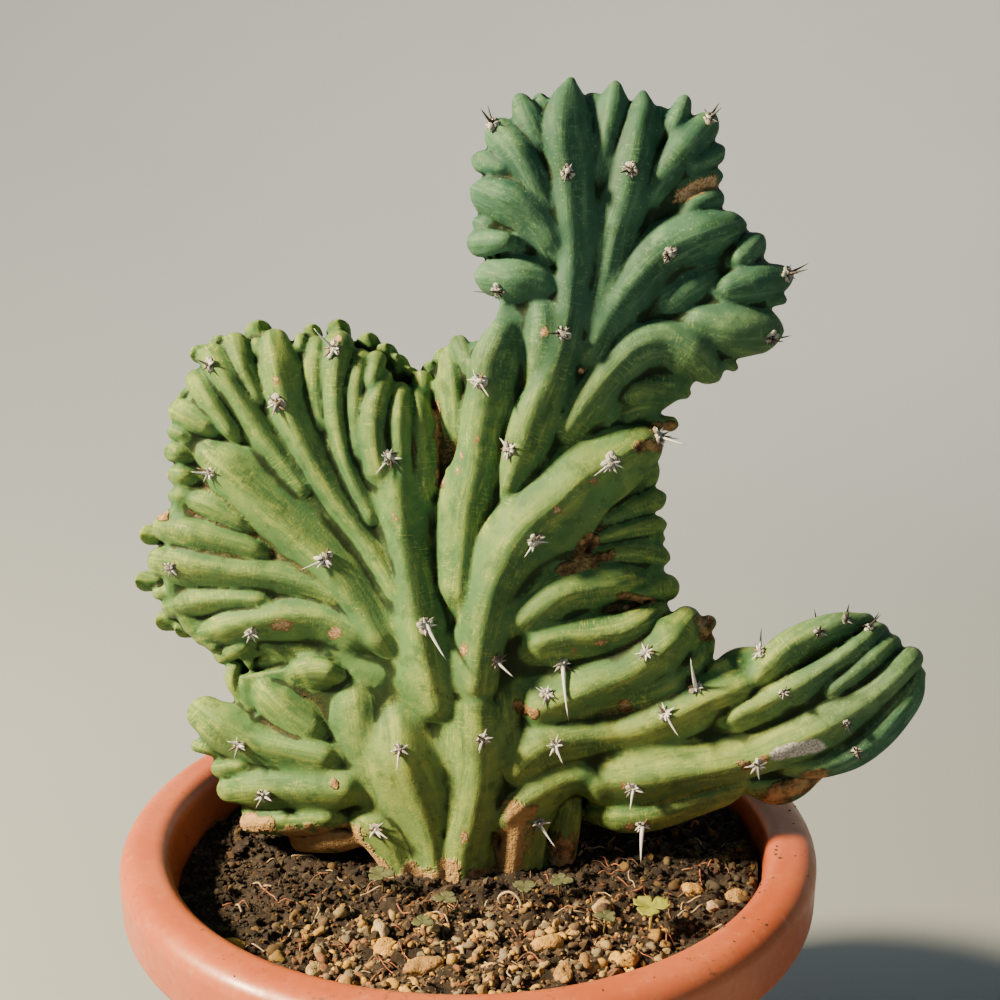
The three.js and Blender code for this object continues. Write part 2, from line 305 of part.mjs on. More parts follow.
// Thins a closed surface to about the given number of triangles. It joins the two ends of
// an edge where that moves the surface least, and never where it would pinch or fold it.
// Below fineBelow the surface counts more, so the parts that fit other pieces stay true.
function thin(s, target, fineBelow) {
  const mesh = s.getMesh(),
    np = mesh.numProp,
    P = [];
  for (let i = 0; i < mesh.numVert; i++)
    P.push(Array.from(mesh.vertProperties.subarray(i * np, i * np + 3)));
  const F = [];
  for (let i = 0; i < mesh.triVerts.length; i += 3) F.push(Array.from(mesh.triVerts.subarray(i, i + 3)));
  const around = P.map(() => new Set());
  F.forEach((f, i) => f.forEach((v) => around[v].add(i)));
  const sub = (a, b) => [a[0] - b[0], a[1] - b[1], a[2] - b[2]];
  const cross = (a, b) => [
    a[1] * b[2] - a[2] * b[1],
    a[2] * b[0] - a[0] * b[2],
    a[0] * b[1] - a[1] * b[0],
  ];
  const dot = (a, b) => a[0] * b[0] + a[1] * b[1] + a[2] * b[2];
  const Q = P.map(() => new Float64Array(10));
  for (const [a, b, c] of F) {
    const m = cross(sub(P[b], P[a]), sub(P[c], P[a])),
      l = Math.hypot(...m);
    if (l < 1e-12) continue;
    const n = m.map((v) => v / l),
      d = -dot(n, P[a]),
      k = (l / 2) * ((P[a][2] + P[b][2] + P[c][2]) / 3 < fineBelow ? 8 : 1);
    const q = [
      n[0] * n[0], n[0] * n[1], n[0] * n[2], n[0] * d, n[1] * n[1],
      n[1] * n[2], n[1] * d, n[2] * n[2], n[2] * d, d * d,
    ];
    for (const v of [a, b, c]) for (let i = 0; i < 10; i++) Q[v][i] += q[i] * k;
  }
  const errorAt = (q, [x, y, z]) =>
    x * (q[0] * x + 2 * (q[1] * y + q[2] * z + q[3])) +
    y * (q[4] * y + 2 * (q[5] * z + q[6])) +
    z * (q[7] * z + 2 * q[8]) +
    q[9];
  function plan(u, v) {
    const q = Q[u].map((w, i) => w + Q[v][i]);
    const mid = P[u].map((w, i) => (w + P[v][i]) / 2);
    // The point of least error solves a system of three equations, by Cramer's rule.
    const rows = [
      [q[0], q[1], q[2]],
      [q[1], q[4], q[5]],
      [q[2], q[5], q[7]],
    ];
    const det3 = (r) => dot(r[0], cross(r[1], r[2]));
    const det = det3(rows);
    const tries = [P[u], P[v], mid];
    if (Math.abs(det) > 1e-6 * Math.pow(q[0] + q[4] + q[7], 3)) {
      const right = [-q[3], -q[6], -q[8]];
      const least = [0, 1, 2].map(
        (c) => det3(rows.map((r, i) => r.map((w, j) => (j === c ? right[i] : w)))) / det,
      );
      if (Math.hypot(...sub(least, mid)) < 1.5 * Math.hypot(...sub(P[u], P[v]))) tries.push(least);
    }
    let best = null;
    for (const t of tries) {
      const e = Math.max(0, errorAt(q, t));
      if (!best || e < best.e) best = { e, t };
    }
    const length = Math.hypot(...sub(P[u], P[v]));
    return { u, v, t: best.t, e: best.e + 1e-4 * length * length, q };
  }
  const heap = [];
  const less = (a, b) => a.e < b.e;
  function push(item) {
    let i = heap.push(item) - 1;
    while (i > 0) {
      const up = (i - 1) >> 1;
      if (!less(heap[i], heap[up])) break;
      [heap[i], heap[up]] = [heap[up], heap[i]];
      i = up;
    }
  }
  function pop() {
    const first = heap[0],
      end = heap.pop();
    if (heap.length) {
      heap[0] = end;
      for (let i = 0; ; ) {
        let m = i;
        for (const c of [2 * i + 1, 2 * i + 2]) if (c < heap.length && less(heap[c], heap[m])) m = c;
        if (m === i) break;
        [heap[i], heap[m]] = [heap[m], heap[i]];
        i = m;
      }
    }
    return first;
  }
  const stamp = P.map(() => 0);
  const nearOf = (v) => {
    const s = new Set();
    for (const i of around[v]) for (const w of F[i]) if (w !== v) s.add(w);
    return s;
  };
  const offer = (u, v) => push({ ...plan(u, v), a: stamp[u], b: stamp[v] });
  P.forEach((_, u) => nearOf(u).forEach((v) => u < v && offer(u, v)));
  let count = F.length;
  while (count > target && heap.length) {
    const m = pop();
    if (stamp[m.u] !== m.a || stamp[m.v] !== m.b || stamp[m.u] < 0 || stamp[m.v] < 0) continue;
    const nu = nearOf(m.u),
      nv = nearOf(m.v);
    let shared = 0;
    nu.forEach((w) => nv.has(w) && shared++);
    if (shared !== 2) continue;
    let folds = false;
    for (const v of [m.u, m.v])
      for (const i of around[v]) {
        const f = F[i];
        if (f.includes(m.u) && f.includes(m.v)) continue;
        const old = cross(sub(P[f[1]], P[f[0]]), sub(P[f[2]], P[f[0]]));
        const g = f.map((w) => (w === v ? m.t : P[w]));
        const now = cross(sub(g[1], g[0]), sub(g[2], g[0]));
        const lo = Math.hypot(...old),
          ln = Math.hypot(...now);
        const longest = Math.max(...[0, 1, 2].map((e) => Math.hypot(...sub(g[e], g[(e + 1) % 3]))));
        const thinned = ln < 0.03 * longest * longest;
        if (thinned || (lo > 1e-3 && dot(old, now) < 0.25 * lo * ln)) folds = true;
      }
    if (folds) continue;
    for (const i of [...around[m.v]]) {
      if (F[i].includes(m.u)) {
        F[i].forEach((w) => around[w].delete(i));
        F[i] = null;
        count--;
      } else {
        F[i] = F[i].map((w) => (w === m.v ? m.u : w));
        around[m.u].add(i);
      }
    }
    around[m.v].clear();
    stamp[m.v] = -1;
    P[m.u] = m.t;
    Q[m.u] = m.q;
    stamp[m.u]++;
    nearOf(m.u).forEach((w) => offer(m.u, w));
  }
  const index = new Map(),
    points = [];
  const faces = F.filter(Boolean).map((f) =>
    f.map((v) => {
      if (!index.has(v)) index.set(v, points.push(P[v]) - 1);
      return index.get(v);
    }),
  );
  return solid(points, faces);
}

// Joins rings of equal length into a closed loft with a pole at each end.
function loft(rings, poleA, poleB) {
  const n = rings[0].length;
  const points = [poleA, ...rings.flat(), poleB];
  const last = points.length - 1;
  const faces = [];
  for (let j = 0; j < n; j++) {
    const k = (j + 1) % n;
    faces.push([0, 1 + k, 1 + j]);
    for (let r = 0; r + 1 < rings.length; r++) {
      const a = 1 + r * n + j,
        b = 1 + r * n + k,
        c = a + n,
        d = b + n;
      faces.push([a, b, c], [b, d, c]);
    }
    const top = 1 + (rings.length - 1) * n;
    faces.push([last, top + j, top + k]);
  }
  return solid(points, faces);
}

// A point of the outline plane, slid along its line of sight to depth y.
function seen(x, z, y) {
  const k = (y - EYE.y) / -EYE.y;
  return [EYE.x + (x - EYE.x) * k, y, EYE.z + (z - EYE.z) * k];
}

// The fan: middle plane and half thickness
const ramp = (v) => Math.min(1, Math.max(0, v));
// The crest leans back at the top and at its edges, folds inwards between its two lobes and
// waves a little; the arm comes forward.
function middle(x, z) {
  const left = x < 0 ? 0.0006 * x * x : 0;
  const right = 0.003 * Math.max(0, x - 70) ** 2 * ramp((z - 320) / 40);
  const fold = 8 * Math.exp(-(((x + 8) / 16) ** 2)) * ramp((z - 280) / 60);
  const top = 0.0003 * Math.max(0, z - 300) ** 2;
  const wave = WAVE * Math.sin(x / 22 + z / 90) * ramp((z - 250) / 60);
  const arm = -0.09 * Math.max(0, x - 60) * ramp((300 - z) / 40);
  return left + right + fold + top + wave + arm;
}
function thickness(x, z) {
  const v = (z - 235) / (z < 235 ? 160 : 85);
  const arm = 5 * ramp((x - 40) / 40) * ramp((300 - z) / 30);
  return FAN_EDGE + arm + FAN_HEART * Math.exp(-((x / 95) ** 2) - v * v);
}
// How far the crest has come to its full thickness at a distance from a rib's tip.
function swell(distance, length) {
  const q = 1 - ramp(distance / length);
  return 0.2 + 0.8 * Math.sqrt(1 - q * q);
}

// The stations of a rib with its direction, ridge depth and back depth worked out.
function stationsOf(index, [, out, lean, back, path, tipLength, proud], grow) {
  const widest = Math.max(...path.map((p) => p[2]));
  let run = 0.95 * path[0][2];
  return path.map(([x, z, w], i) => {
    if (i) run += Math.hypot(x - path[i - 1][0], z - path[i - 1][1]);
    const full = swell(run, tipLength || TIP_LENGTH);
    const half = thickness(x, z);
    const root = !proud && i === path.length - 1 ? half - DEEP + 1.5 : 99;
    const a = path[Math.max(0, i - 1)],
      b = path[Math.min(path.length - 1, i + 1)];
    const len = Math.hypot(b[0] - a[0], b[1] - a[1]);
    const t = [(b[0] - a[0]) / len, (b[1] - a[1]) / len];
    const n = [-t[1], t[0]];
    const sink = 0.55 * (widest - w);
    const rear = back || half - 1 + Math.min(0, out) * 0.6 - sink + 1.5 * chance(index, i);
    return {
      x, z, t, n,
      w: w + grow,
      shift: (lean[0] * n[0] + lean[1] * n[1]) * w * 0.7,
      front: Math.min(root, (half + out - sink) * full) + grow,
      back: Math.min(root, rear * full) + grow,
      backShift: back ? 0 : 2.2 * (chance(index, 40 + i) - 0.5),
      middle: middle(x, z),
    };
  });
}

// One ring of a rib: offsets across the rib and depths, at scale k and pushed along it.
function ringOf(s, sides, k, push) {
  const w = s.w * k,
    roof = Math.min(ROOF * s.w, s.front + s.back - 2);
  const f = s.front * (k < 1 ? 0.3 + 0.55 * k : 1),
    b = s.back * (k < 1 ? 0.3 + 0.55 * k : 1);
  const r = roof * k,
    back = s.backShift;
  const across = sides >= 8
    ? [[s.shift * k, -f], [0.7 * w, 0.42 * r - f], [w, (b - f) / 2], [0.7 * w + back, b - 0.42 * r],
       [back, b], [back - 0.7 * w, b - 0.42 * r], [-w, (b - f) / 2], [-0.7 * w, 0.42 * r - f]]
    : [[s.shift * k, -f], [w, 0.8 * r - f], [0.9 * w, b - 0.7 * r], [0, b],
       [-0.9 * w, b - 0.7 * r], [-w, 0.8 * r - f]];
  return across.map(([u, d]) =>
    seen(s.x + u * s.n[0] - push * s.t[0], s.z + u * s.n[1] - push * s.t[1], s.middle + d),
  );
}

function ribSolid(index, rib, grow = 0) {
  const st = stationsOf(index, rib, grow);
  const sides = Math.max(...rib[4].map((p) => p[2])) > 4.7 ? 8 : 6;
  const rings = [ringOf(st[0], sides, 0.62, st[0].w * 0.62)];
  for (const s of st) rings.push(ringOf(s, sides, 1, 0));
  const a = st[0],
    b = st[st.length - 1];
  const pole = (s, push) =>
    seen(s.x - push * s.t[0], s.z - push * s.t[1], s.middle + (s.back - s.front) / 2);
  return loft(rings, pole(a, a.w * 0.95), pole(b, -b.w * 0.8));
}

// Cactus
const ribs = RIBS.map((r, i) => ribSolid(i, r));
// Section of a core: offsets across it in half widths, and depths.
const coreSection = (f, g) => [
  [-1, -0.6 * f], [-0.85, -f], [0.85, -f], [1, -0.6 * f], [1, 0.6 * g], [0.85, g], [-0.85, g], [-1, 0.6 * g],
];
CORES.forEach((path, c) => {
  const st = path.map(([x, z, w], i) => {
    const a = path[Math.max(0, i - 1)],
      b = path[Math.min(path.length - 1, i + 1)];
    const len = Math.hypot(b[0] - a[0], b[1] - a[1]);
    const n = [-(b[1] - a[1]) / len, (b[0] - a[0]) / len];
    const f = thickness(x, z) - DEEP + 0.7 * chance(c, i),
      g = thickness(x, z) - DEEP - 0.5;
    return coreSection(f, g).map(([u, d]) =>
      seen(x + u * w * n[0], z + u * w * n[1], middle(x, z) + d),
    );
  });
  const end = (p) => seen(p[0], p[1], middle(p[0], p[1]));
  ribs.push(loft(st, end(path[0]), end(path[path.length - 1])));
});
BACK_TIPS.forEach(([x, z, w], i) => {
  const side = x < -100;
  const [t, n, inward] = side ? [[1, 0], [0, 1], [14, 1]] : [[0, -1], [1, 0], [0, -14]];
  const depths = { shift: 0, front: -2, back: 2 + 1.9 * w, backShift: 0, middle: middle(x, z) + 2 };
  const s = { x, z, t, n, w, ...depths };
  const low = { ...s, x: x + inward[0], z: z + inward[1], back: 4 + 2 * w, w: w * 1.1 };
  const root = { ...s, x: x + 2.2 * inward[0], z: z + 2.2 * inward[1], back: 3, w: w * 0.8 };
  const rings = [ringOf(s, 6, 0.6, w * 0.6), ...[s, low, root].map((r) => ringOf(r, 6, 1, 0))];
  ribs.push(loft(rings,
    seen(x - t[0] * w * 0.9, z - t[1] * w * 0.9, s.middle + w + 2),
    seen(root.x + t[0] * w, root.z + t[1] * w, s.middle)));
});
ribs.push(ribSolid(200, ["lobe_behind", -10, [0, 0.3], 15, LOBE_BEHIND]));

// Depth of the skin at a point of the outline plane, on the front (-1) or the back (+1).
const skin = RIBS.map((rib, index) => {
  const st = stationsOf(index, rib, 0);
  const fine = [];
  for (let i = 0; i + 1 < st.length; i++)
    for (let k = 0; k < 6; k++) {
      const a = st[i], b = st[i + 1];
      const s = { n: a.n };
      for (const name of ["x", "z", "w", "front", "back", "middle", "shift"])
        s[name] = a[name] + ((b[name] - a[name]) * k) / 6;
      fine.push(s);
    }
  return fine;
});
function skinDepth(x, z, side) {
  let best = null;
  for (const fine of skin)
    for (const s of fine) {
      if (Math.hypot(x - s.x, z - s.z) > s.w * 0.92) continue;
      const u = Math.abs((x - s.x) * s.n[0] + (z - s.z) * s.n[1] - (side < 0 ? s.shift : 0)) / s.w;
      if (u > 0.8) continue;
      const d = s.middle + side * ((side < 0 ? s.front : s.back) - 0.6 * u * s.w);
      if (best === null || side * d > side * best) best = d;
    }
  return best;
}

// A three-sided spine with its root sunk in the flesh.
function spine(root, direction, length, radius) {
  const d = new THREE.Vector3(...direction).normalize();
  const g = new THREE.ConeGeometry(radius, length + 2.5, 3, 1);
  g.translate(0, (length + 2.5) / 2 - 2.5, 0);
  const m = new THREE.Matrix4().makeRotationFromQuaternion(
    new THREE.Quaternion().setFromUnitVectors(new THREE.Vector3(0, 1, 0), d),
  );
  m.setPosition(...root);
  return solidOf(g.applyMatrix4(m));
}

const spines = [];
AREOLES.forEach(([x, z, length, degrees], i) => {
  const a = (degrees * Math.PI) / 180;
  for (const side of [-1, 1]) {
    const d = skinDepth(x, z, side);
    if (d === null || (side > 0 && z < 200)) continue;
    const root = seen(x, z, d - side * 0.6);
    const turn = side < 0 ? 0 : 0.7 * (chance(i, 3) - 0.5);
    const l = side < 0 ? length : 5 + 7 * chance(i, 4);
    spines.push(spine(root, [Math.cos(a + turn), side * 0.75, Math.sin(a + turn)], l, SPINE_RADIUS));
    if (i % 2 === 0) {
      const b = a + 1.9 + chance(i, 5);
      spines.push(spine(root, [Math.cos(b), side * 0.8, Math.sin(b)], 4.5, SPINE_RADIUS * 0.9));
    }
  }
});

// The root: a tapered plug under the trunk, flat at the bottom.
const rootTop = SOIL_LEVEL - 14,
  rootBottom = SOIL_LEVEL - ROOT_DEPTH;
function plug(grow, bottom, top) {
  const g = new THREE.CylinderGeometry(1, 0.82, 1, 20, 1);
  g.rotateX(Math.PI / 2);
  g.scale(35 + grow, 24 + grow, top - bottom);
  g.translate(2, 1, (top + bottom) / 2);
  return solidOf(g);
}

const whole = wasm.Manifold.union([...ribs, plug(0, rootBottom, rootTop)]);
const under = new THREE.BoxGeometry(700, 700, 120);
under.translate(0, 0, rootBottom - 60);
const flesh = thin(outer(whole.subtract(solidOf(under))), FLESH_TRIANGLES, SOIL_LEVEL + 12);
const body = outer(wasm.Manifold.union([flesh, ...spines]));

// Pot
const wallAt = (z) => BASE_RADIUS + (WALL_TOP_RADIUS - BASE_RADIUS) * (z / (POT_HEIGHT - RIM_DEPTH));
const bandTop = POT_HEIGHT - 8,
  bandFoot = POT_HEIGHT - RIM_DEPTH;
const potProfile = [[0, 0], [BASE_RADIUS - 3, 0], [BASE_RADIUS, 3], [wallAt(bandFoot), bandFoot]];
potProfile.push([RIM_RADIUS - 5.5, bandFoot], [RIM_RADIUS - 1.6, bandFoot + 3]);
potProfile.push([RIM_RADIUS - 0.3, bandFoot + 10]);
for (let i = 0; i <= 6; i++) {
  const a = (i / 6) * (Math.PI / 2);
  potProfile.push([RIM_RADIUS - 9 + 9 * Math.cos(a), bandTop + 8 * Math.sin(a)]);
}
potProfile.push(
  [LIP_RADIUS + 6, POT_HEIGHT - 0.4], [LIP_RADIUS + 1.6, POT_HEIGHT - 3], [LIP_RADIUS, POT_HEIGHT - 8],
  [wallAt(bandFoot) - WALL, bandFoot], [BASE_RADIUS - WALL + 1, WALL], [0, WALL],
);
const turned = (profile, sides) => {
  const points = profile.map(([r, z]) => new THREE.Vector2(r, z));
  return solidOf(new THREE.LatheGeometry(points, sides).rotateX(Math.PI / 2));
};
let pot = turned(potProfile, 36);
for (let i = 0; i < DRAIN_COUNT; i++) {
  const a = (i * 2 * Math.PI) / DRAIN_COUNT;
  const g = new THREE.CylinderGeometry(DRAIN_RADIUS, DRAIN_RADIUS, 4 * WALL, 8);
  g.rotateX(Math.PI / 2);
  g.translate(DRAIN_RING * Math.cos(a), DRAIN_RING * Math.sin(a), 0);
  pot = pot.subtract(solidOf(g));
}

// Soil
// Height of the soil: a slope, a heap at the trunk and fine unevenness.
function soilHeight(x, y) {
  const r = Math.hypot(x, y);
  const heap = 2.5 * Math.exp(-((r / 60) ** 2));
  const swells = 1.1 * Math.sin(x * 0.17 + 1.3) * Math.cos(y * 0.21 + 0.4);
  const rough = swells + 0.8 * Math.sin(x * 0.41 - y * 0.33);
  return SOIL_LEVEL - 1.5 + SOIL_TILT * x + heap + rough - 2 * ramp((r - 100) / 18);
}
const SOIL_RINGS = 9,
  SOIL_SIDES = 36;
const soilTopRadius = WALL_TOP_RADIUS - WALL - 1.6;
const soilRows = [];
const ringAt = (r, z) =>
  Array.from({ length: SOIL_SIDES }, (_, j) => {
    const a = (j * 2 * Math.PI) / SOIL_SIDES;
    const x = r * Math.cos(a), y = r * Math.sin(a);
    return [x, y, typeof z === "number" ? z : z(x, y)];
  });
soilRows.push(ringAt(BASE_RADIUS - WALL - 3, WALL + GAP));
soilRows.push(ringAt(soilTopRadius, POT_HEIGHT - RIM_DEPTH));
const crumbly = (x, y) => soilHeight(x, y) + 1.2 * (chance(Math.round(x * 10), Math.round(y * 10)) - 0.5);
for (let i = SOIL_RINGS; i > 0; i--) soilRows.push(ringAt((soilTopRadius * i) / SOIL_RINGS, crumbly));
let soil = loft(soilRows, [0, 0, WALL + GAP], [0, 0, soilHeight(0, 0)]);

// A rough stone of given size, with flat-sided facets.
function stone(seed, x, y, z, a, b, c, grow = 0) {
  const g = new THREE.DodecahedronGeometry(1, 0);
  const p = g.getAttribute("position");
  const v = new THREE.Vector3();
  for (let i = 0; i < p.count; i++) {
    v.fromBufferAttribute(p, i).normalize();
    const dents = 0.16 * Math.sin(v.x * 4 + seed) * Math.cos(v.y * 3 - seed * 2);
    const f = 1 + dents + 0.1 * Math.sin(v.z * 5 + seed * 3);
    p.setXYZ(i, v.x * f * a + grow * v.x, v.y * f * b + grow * v.y, v.z * f * c + grow * v.z);
  }
  g.rotateZ(seed * 1.7);
  g.translate(x, y, z);
  return solidOf(g);
}

// Fine grit that is part of the soil's crust.
const crust = [];
for (let i = 0; i < 18; i++) {
  const a = chance(i, 11) * 2 * Math.PI,
    r = 30 + 80 * Math.sqrt(chance(i, 12));
  const x = r * Math.cos(a), y = r * Math.sin(a), s = 1.6 + 1.4 * chance(i, 13);
  const g = new THREE.OctahedronGeometry(s, 0);
  g.rotateZ(i).rotateX(i * 0.7);
  g.translate(x, y, soilHeight(x, y) + 0.5);
  crust.push(solidOf(g));
}
soil = wasm.Manifold.union([soil, ...crust]);

// The larger stones, each lying in its own hollow: [x, y, half sizes].
const STONES = [
  [-29, -70, 6.5, 5, 3.6], [-15, -84, 6.8, 4.4, 3.4], [-33, -60, 4.4, 3.6, 2.8],
    [30, -72, 7.2, 4.4, 3.4],
  [52, -48, 4.2, 3.4, 3], [87, -36, 4.2, 5, 3.4], [104, -38, 4.6, 3.4, 2.8], [94, -48, 3.2, 3, 2.4],
  [-88, -62, 6.2, 3.2, 2.4], [-54, -84, 4.6, 3.4, 2.8], [58, -84, 4.4, 3.8, 3], [35, -92, 5, 3.6, 2.8],
  [-60, 66, 5.4, 4.2, 3.2], [10, 88, 6, 4.6, 3.4], [72, 60, 5, 4, 3],
];
// The seedlings in the soil: [x, y, stem height, leaf size].
const CLOVERS = [
  [-34, -34, 9, 6.5], [-8, -52, 8, 5.5], [22, -44, 8, 5.5], [36, -40, 8, 5.5], [52, -62, 7, 5],
  [68, -66, 12, 8.5], [-16, -64, 7, 5],
];

// Fitting: the soil makes room for the root, the low ribs, the stones and the stems
const room = [];
RIBS.forEach((r, i) => {
  if (r[0].startsWith("trunk_") || r[0] === "foot_log") room.push(ribSolid(i, r, FOOT_GAP));
});
const coreRoom = CORES[0].slice(6).map(([x, z, w]) => [x, z, w + FOOT_GAP + 0.6]);
coreRoom[coreRoom.length - 1][1] -= 1.5;
const pit = coreRoom.map(([x, z, w]) => {
  const f = thickness(x, z) - DEEP + 1.5 + FOOT_GAP;
  return coreSection(f, f).map(([u, d]) => seen(x - u * w, z, middle(x, z) + d));
});
room.push(loft(pit, seen(coreRoom[0][0], coreRoom[0][1] + 1, 0), seen(1, 153, 0)));
room.push(plug(FOOT_GAP, rootBottom - GAP, rootTop + FOOT_GAP));
soil = soil.subtract(wasm.Manifold.union(room));
for (const by of [[GAP, 0, 0], [-GAP, 0, 0], [0, GAP, 0], [0, -GAP, 0], [0, 0, -GAP]])
  soil = soil.subtract(moved(flesh, by));
soil = outer(soil);

const stones = STONES.map(([x, y, a, b, c], i) => {
  const z = soilHeight(x, y) + c * 0.25;
  soil = soil.subtract(stone(i + 1, x, y, z, a, b, c, GAP));
  return stone(i + 1, x, y, z, a, b, c);
});

// A heart-shaped leaflet, flat, 0.8 thick, pointing along +X from the stem.
function leaflet(size) {
  const s = new THREE.Shape();
  s.moveTo(-0.06 * size, 0);
  s.lineTo(0.6 * size, 0.5 * size);
  s.lineTo(1.0 * size, 0.3 * size);
  s.lineTo(0.84 * size, 0);
  s.lineTo(1.0 * size, -0.3 * size);
  s.lineTo(0.6 * size, -0.5 * size);
  s.closePath();
  return new THREE.ExtrudeGeometry(s, { depth: 0.8, bevelEnabled: false });
}

const clovers = CLOVERS.map(([x, y, height, size], i) => {
  const z = soilHeight(x, y);
  const stem = new THREE.CylinderGeometry(0.7, 0.8, height + 4, 5);
  stem.rotateX(Math.PI / 2);
  stem.translate(x, y, z + (height + 4) / 2 - 4);
  const hole = new THREE.CylinderGeometry(1.3, 1.3, 12, 6);
  hole.rotateX(Math.PI / 2);
  hole.translate(x, y, z - 4.35 + 6);
  soil = soil.subtract(solidOf(hole));
  const pieces = [solidOf(stem)];
  for (let k = 0; k < 3; k++) {
    const g = leaflet(size);
    g.rotateY(-0.12 - 0.1 * chance(i, k));
    g.rotateZ((k * 2 * Math.PI) / 3 + i * 1.3);
    g.translate(x, y, z + height - 0.6);
    pieces.push(solidOf(g));
  }
  return wasm.Manifold.union(pieces);
});
soil = outer(soil);

// The arm and the low ribs keep clear of the rim.
const rimRoom = turned([
  [LIP_RADIUS - GAP, POT_HEIGHT - 60], [LIP_RADIUS - GAP, POT_HEIGHT - 7.8],
  [LIP_RADIUS + 1.2, POT_HEIGHT - 2.7], [LIP_RADIUS + 6, POT_HEIGHT + GAP],
  [RIM_RADIUS - 8.5, POT_HEIGHT + GAP], [RIM_RADIUS - 2, POT_HEIGHT - 3],
  [RIM_RADIUS + GAP, POT_HEIGHT - 8], [RIM_RADIUS + GAP, POT_HEIGHT - 60],
  [LIP_RADIUS - GAP, POT_HEIGHT - 60],
], 48);
const cactus = outer(body.subtract(rimRoom));

// Assembly
const object = new THREE.Group();
function add(name, s, color, roughness) {
  const material = new THREE.MeshStandardMaterial({ color, roughness, metalness: 0 });
  const mesh = new THREE.Mesh(geometryOf(s), material);
  mesh.name = name;
  object.add(mesh);
}
add("pot", pot, 0xc8643c, 0.45);
add("soil", soil, 0x3a2a1e, 0.95);
add("cactus", cactus, 0x5d8a4a, 0.6);
stones.forEach((s, i) => add("stone_" + (i + 1), s, 0xa88660, 0.9));
clovers.forEach((s, i) => add("clover_" + (i + 1), s, 0x5f8f35, 0.7));

export default object;
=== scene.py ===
import math
import bmesh
import bpy
import numpy as np
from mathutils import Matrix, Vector
from mathutils.bvhtree import BVHTree
from mathutils.kdtree import KDTree


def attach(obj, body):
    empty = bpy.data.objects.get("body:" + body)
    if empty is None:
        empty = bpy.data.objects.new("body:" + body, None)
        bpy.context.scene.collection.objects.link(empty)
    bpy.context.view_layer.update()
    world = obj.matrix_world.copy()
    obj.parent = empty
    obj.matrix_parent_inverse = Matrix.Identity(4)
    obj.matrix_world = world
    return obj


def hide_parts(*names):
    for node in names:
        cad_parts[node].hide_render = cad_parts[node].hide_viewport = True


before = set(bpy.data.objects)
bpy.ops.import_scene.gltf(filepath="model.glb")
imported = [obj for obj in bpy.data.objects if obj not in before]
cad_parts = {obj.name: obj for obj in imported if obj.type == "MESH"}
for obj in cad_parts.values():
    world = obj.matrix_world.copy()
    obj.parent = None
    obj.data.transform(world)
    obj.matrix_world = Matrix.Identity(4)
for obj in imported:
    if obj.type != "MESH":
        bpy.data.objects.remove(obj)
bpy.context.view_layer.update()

# Lengths below are millimetres and become metres when a mesh is made. Most are the CAD
# part's own, so that each piece lies where its node is.
POT_HEIGHT, RIM_RADIUS, LIP_RADIUS, RIM_DEPTH = 190, 140, 120, 26
WALL_TOP_RADIUS, BASE_RADIUS, WALL = 121.5, 88, 3
DRAIN_RADIUS, DRAIN_RING, DRAIN_COUNT = 5, 52, 6
SOIL_LEVEL, SOIL_TILT, ROOT_DEPTH = 175, 0.035, 40
FAN_EDGE, FAN_HEART = 13.5, 13  # half thickness of the crest at its growing edge, and extra at the trunk
TIP_LENGTH, WAVE = 17, 4  # how long a rib's tip rounds off, and the depth of the crest's slow waves
DEEP = 9  # how far the cores lie under the ridges
ROOF, STEEP = 1.1, 0.82  # a rib's roof: its height in half widths if round, its slope if sharp
STATION_STEP = 1.6  # between a rib's fine stations
RIB_SIDES = 32
VOXEL = 0.8  # fineness of the skin
FLESH_TRIANGLES = 190000
CROWN_FOOT = 373  # ribs whose tips lie higher, right of the middle, belong to the crown
SHADED = 200  # below this height the back has no spine cushions
EYE = (12.5, -560, 476.5)  # the camera, and the point from which the outlines were drawn


def rib(stand, *stations, lean=(0, 0), back=0, proud=None):
    """A rib: how far its ridge stands out of the fan, and its stations [x, z, half width] from
    tip to base. lean is its ridge's lean [x, z] and back its own back depth. The base of a rib
    sinks into the fan, but stays proud where proud gives the length of its rounded tip."""
    return {"stand": stand, "path": stations, "lean": lean, "back": back, "proud": proud}


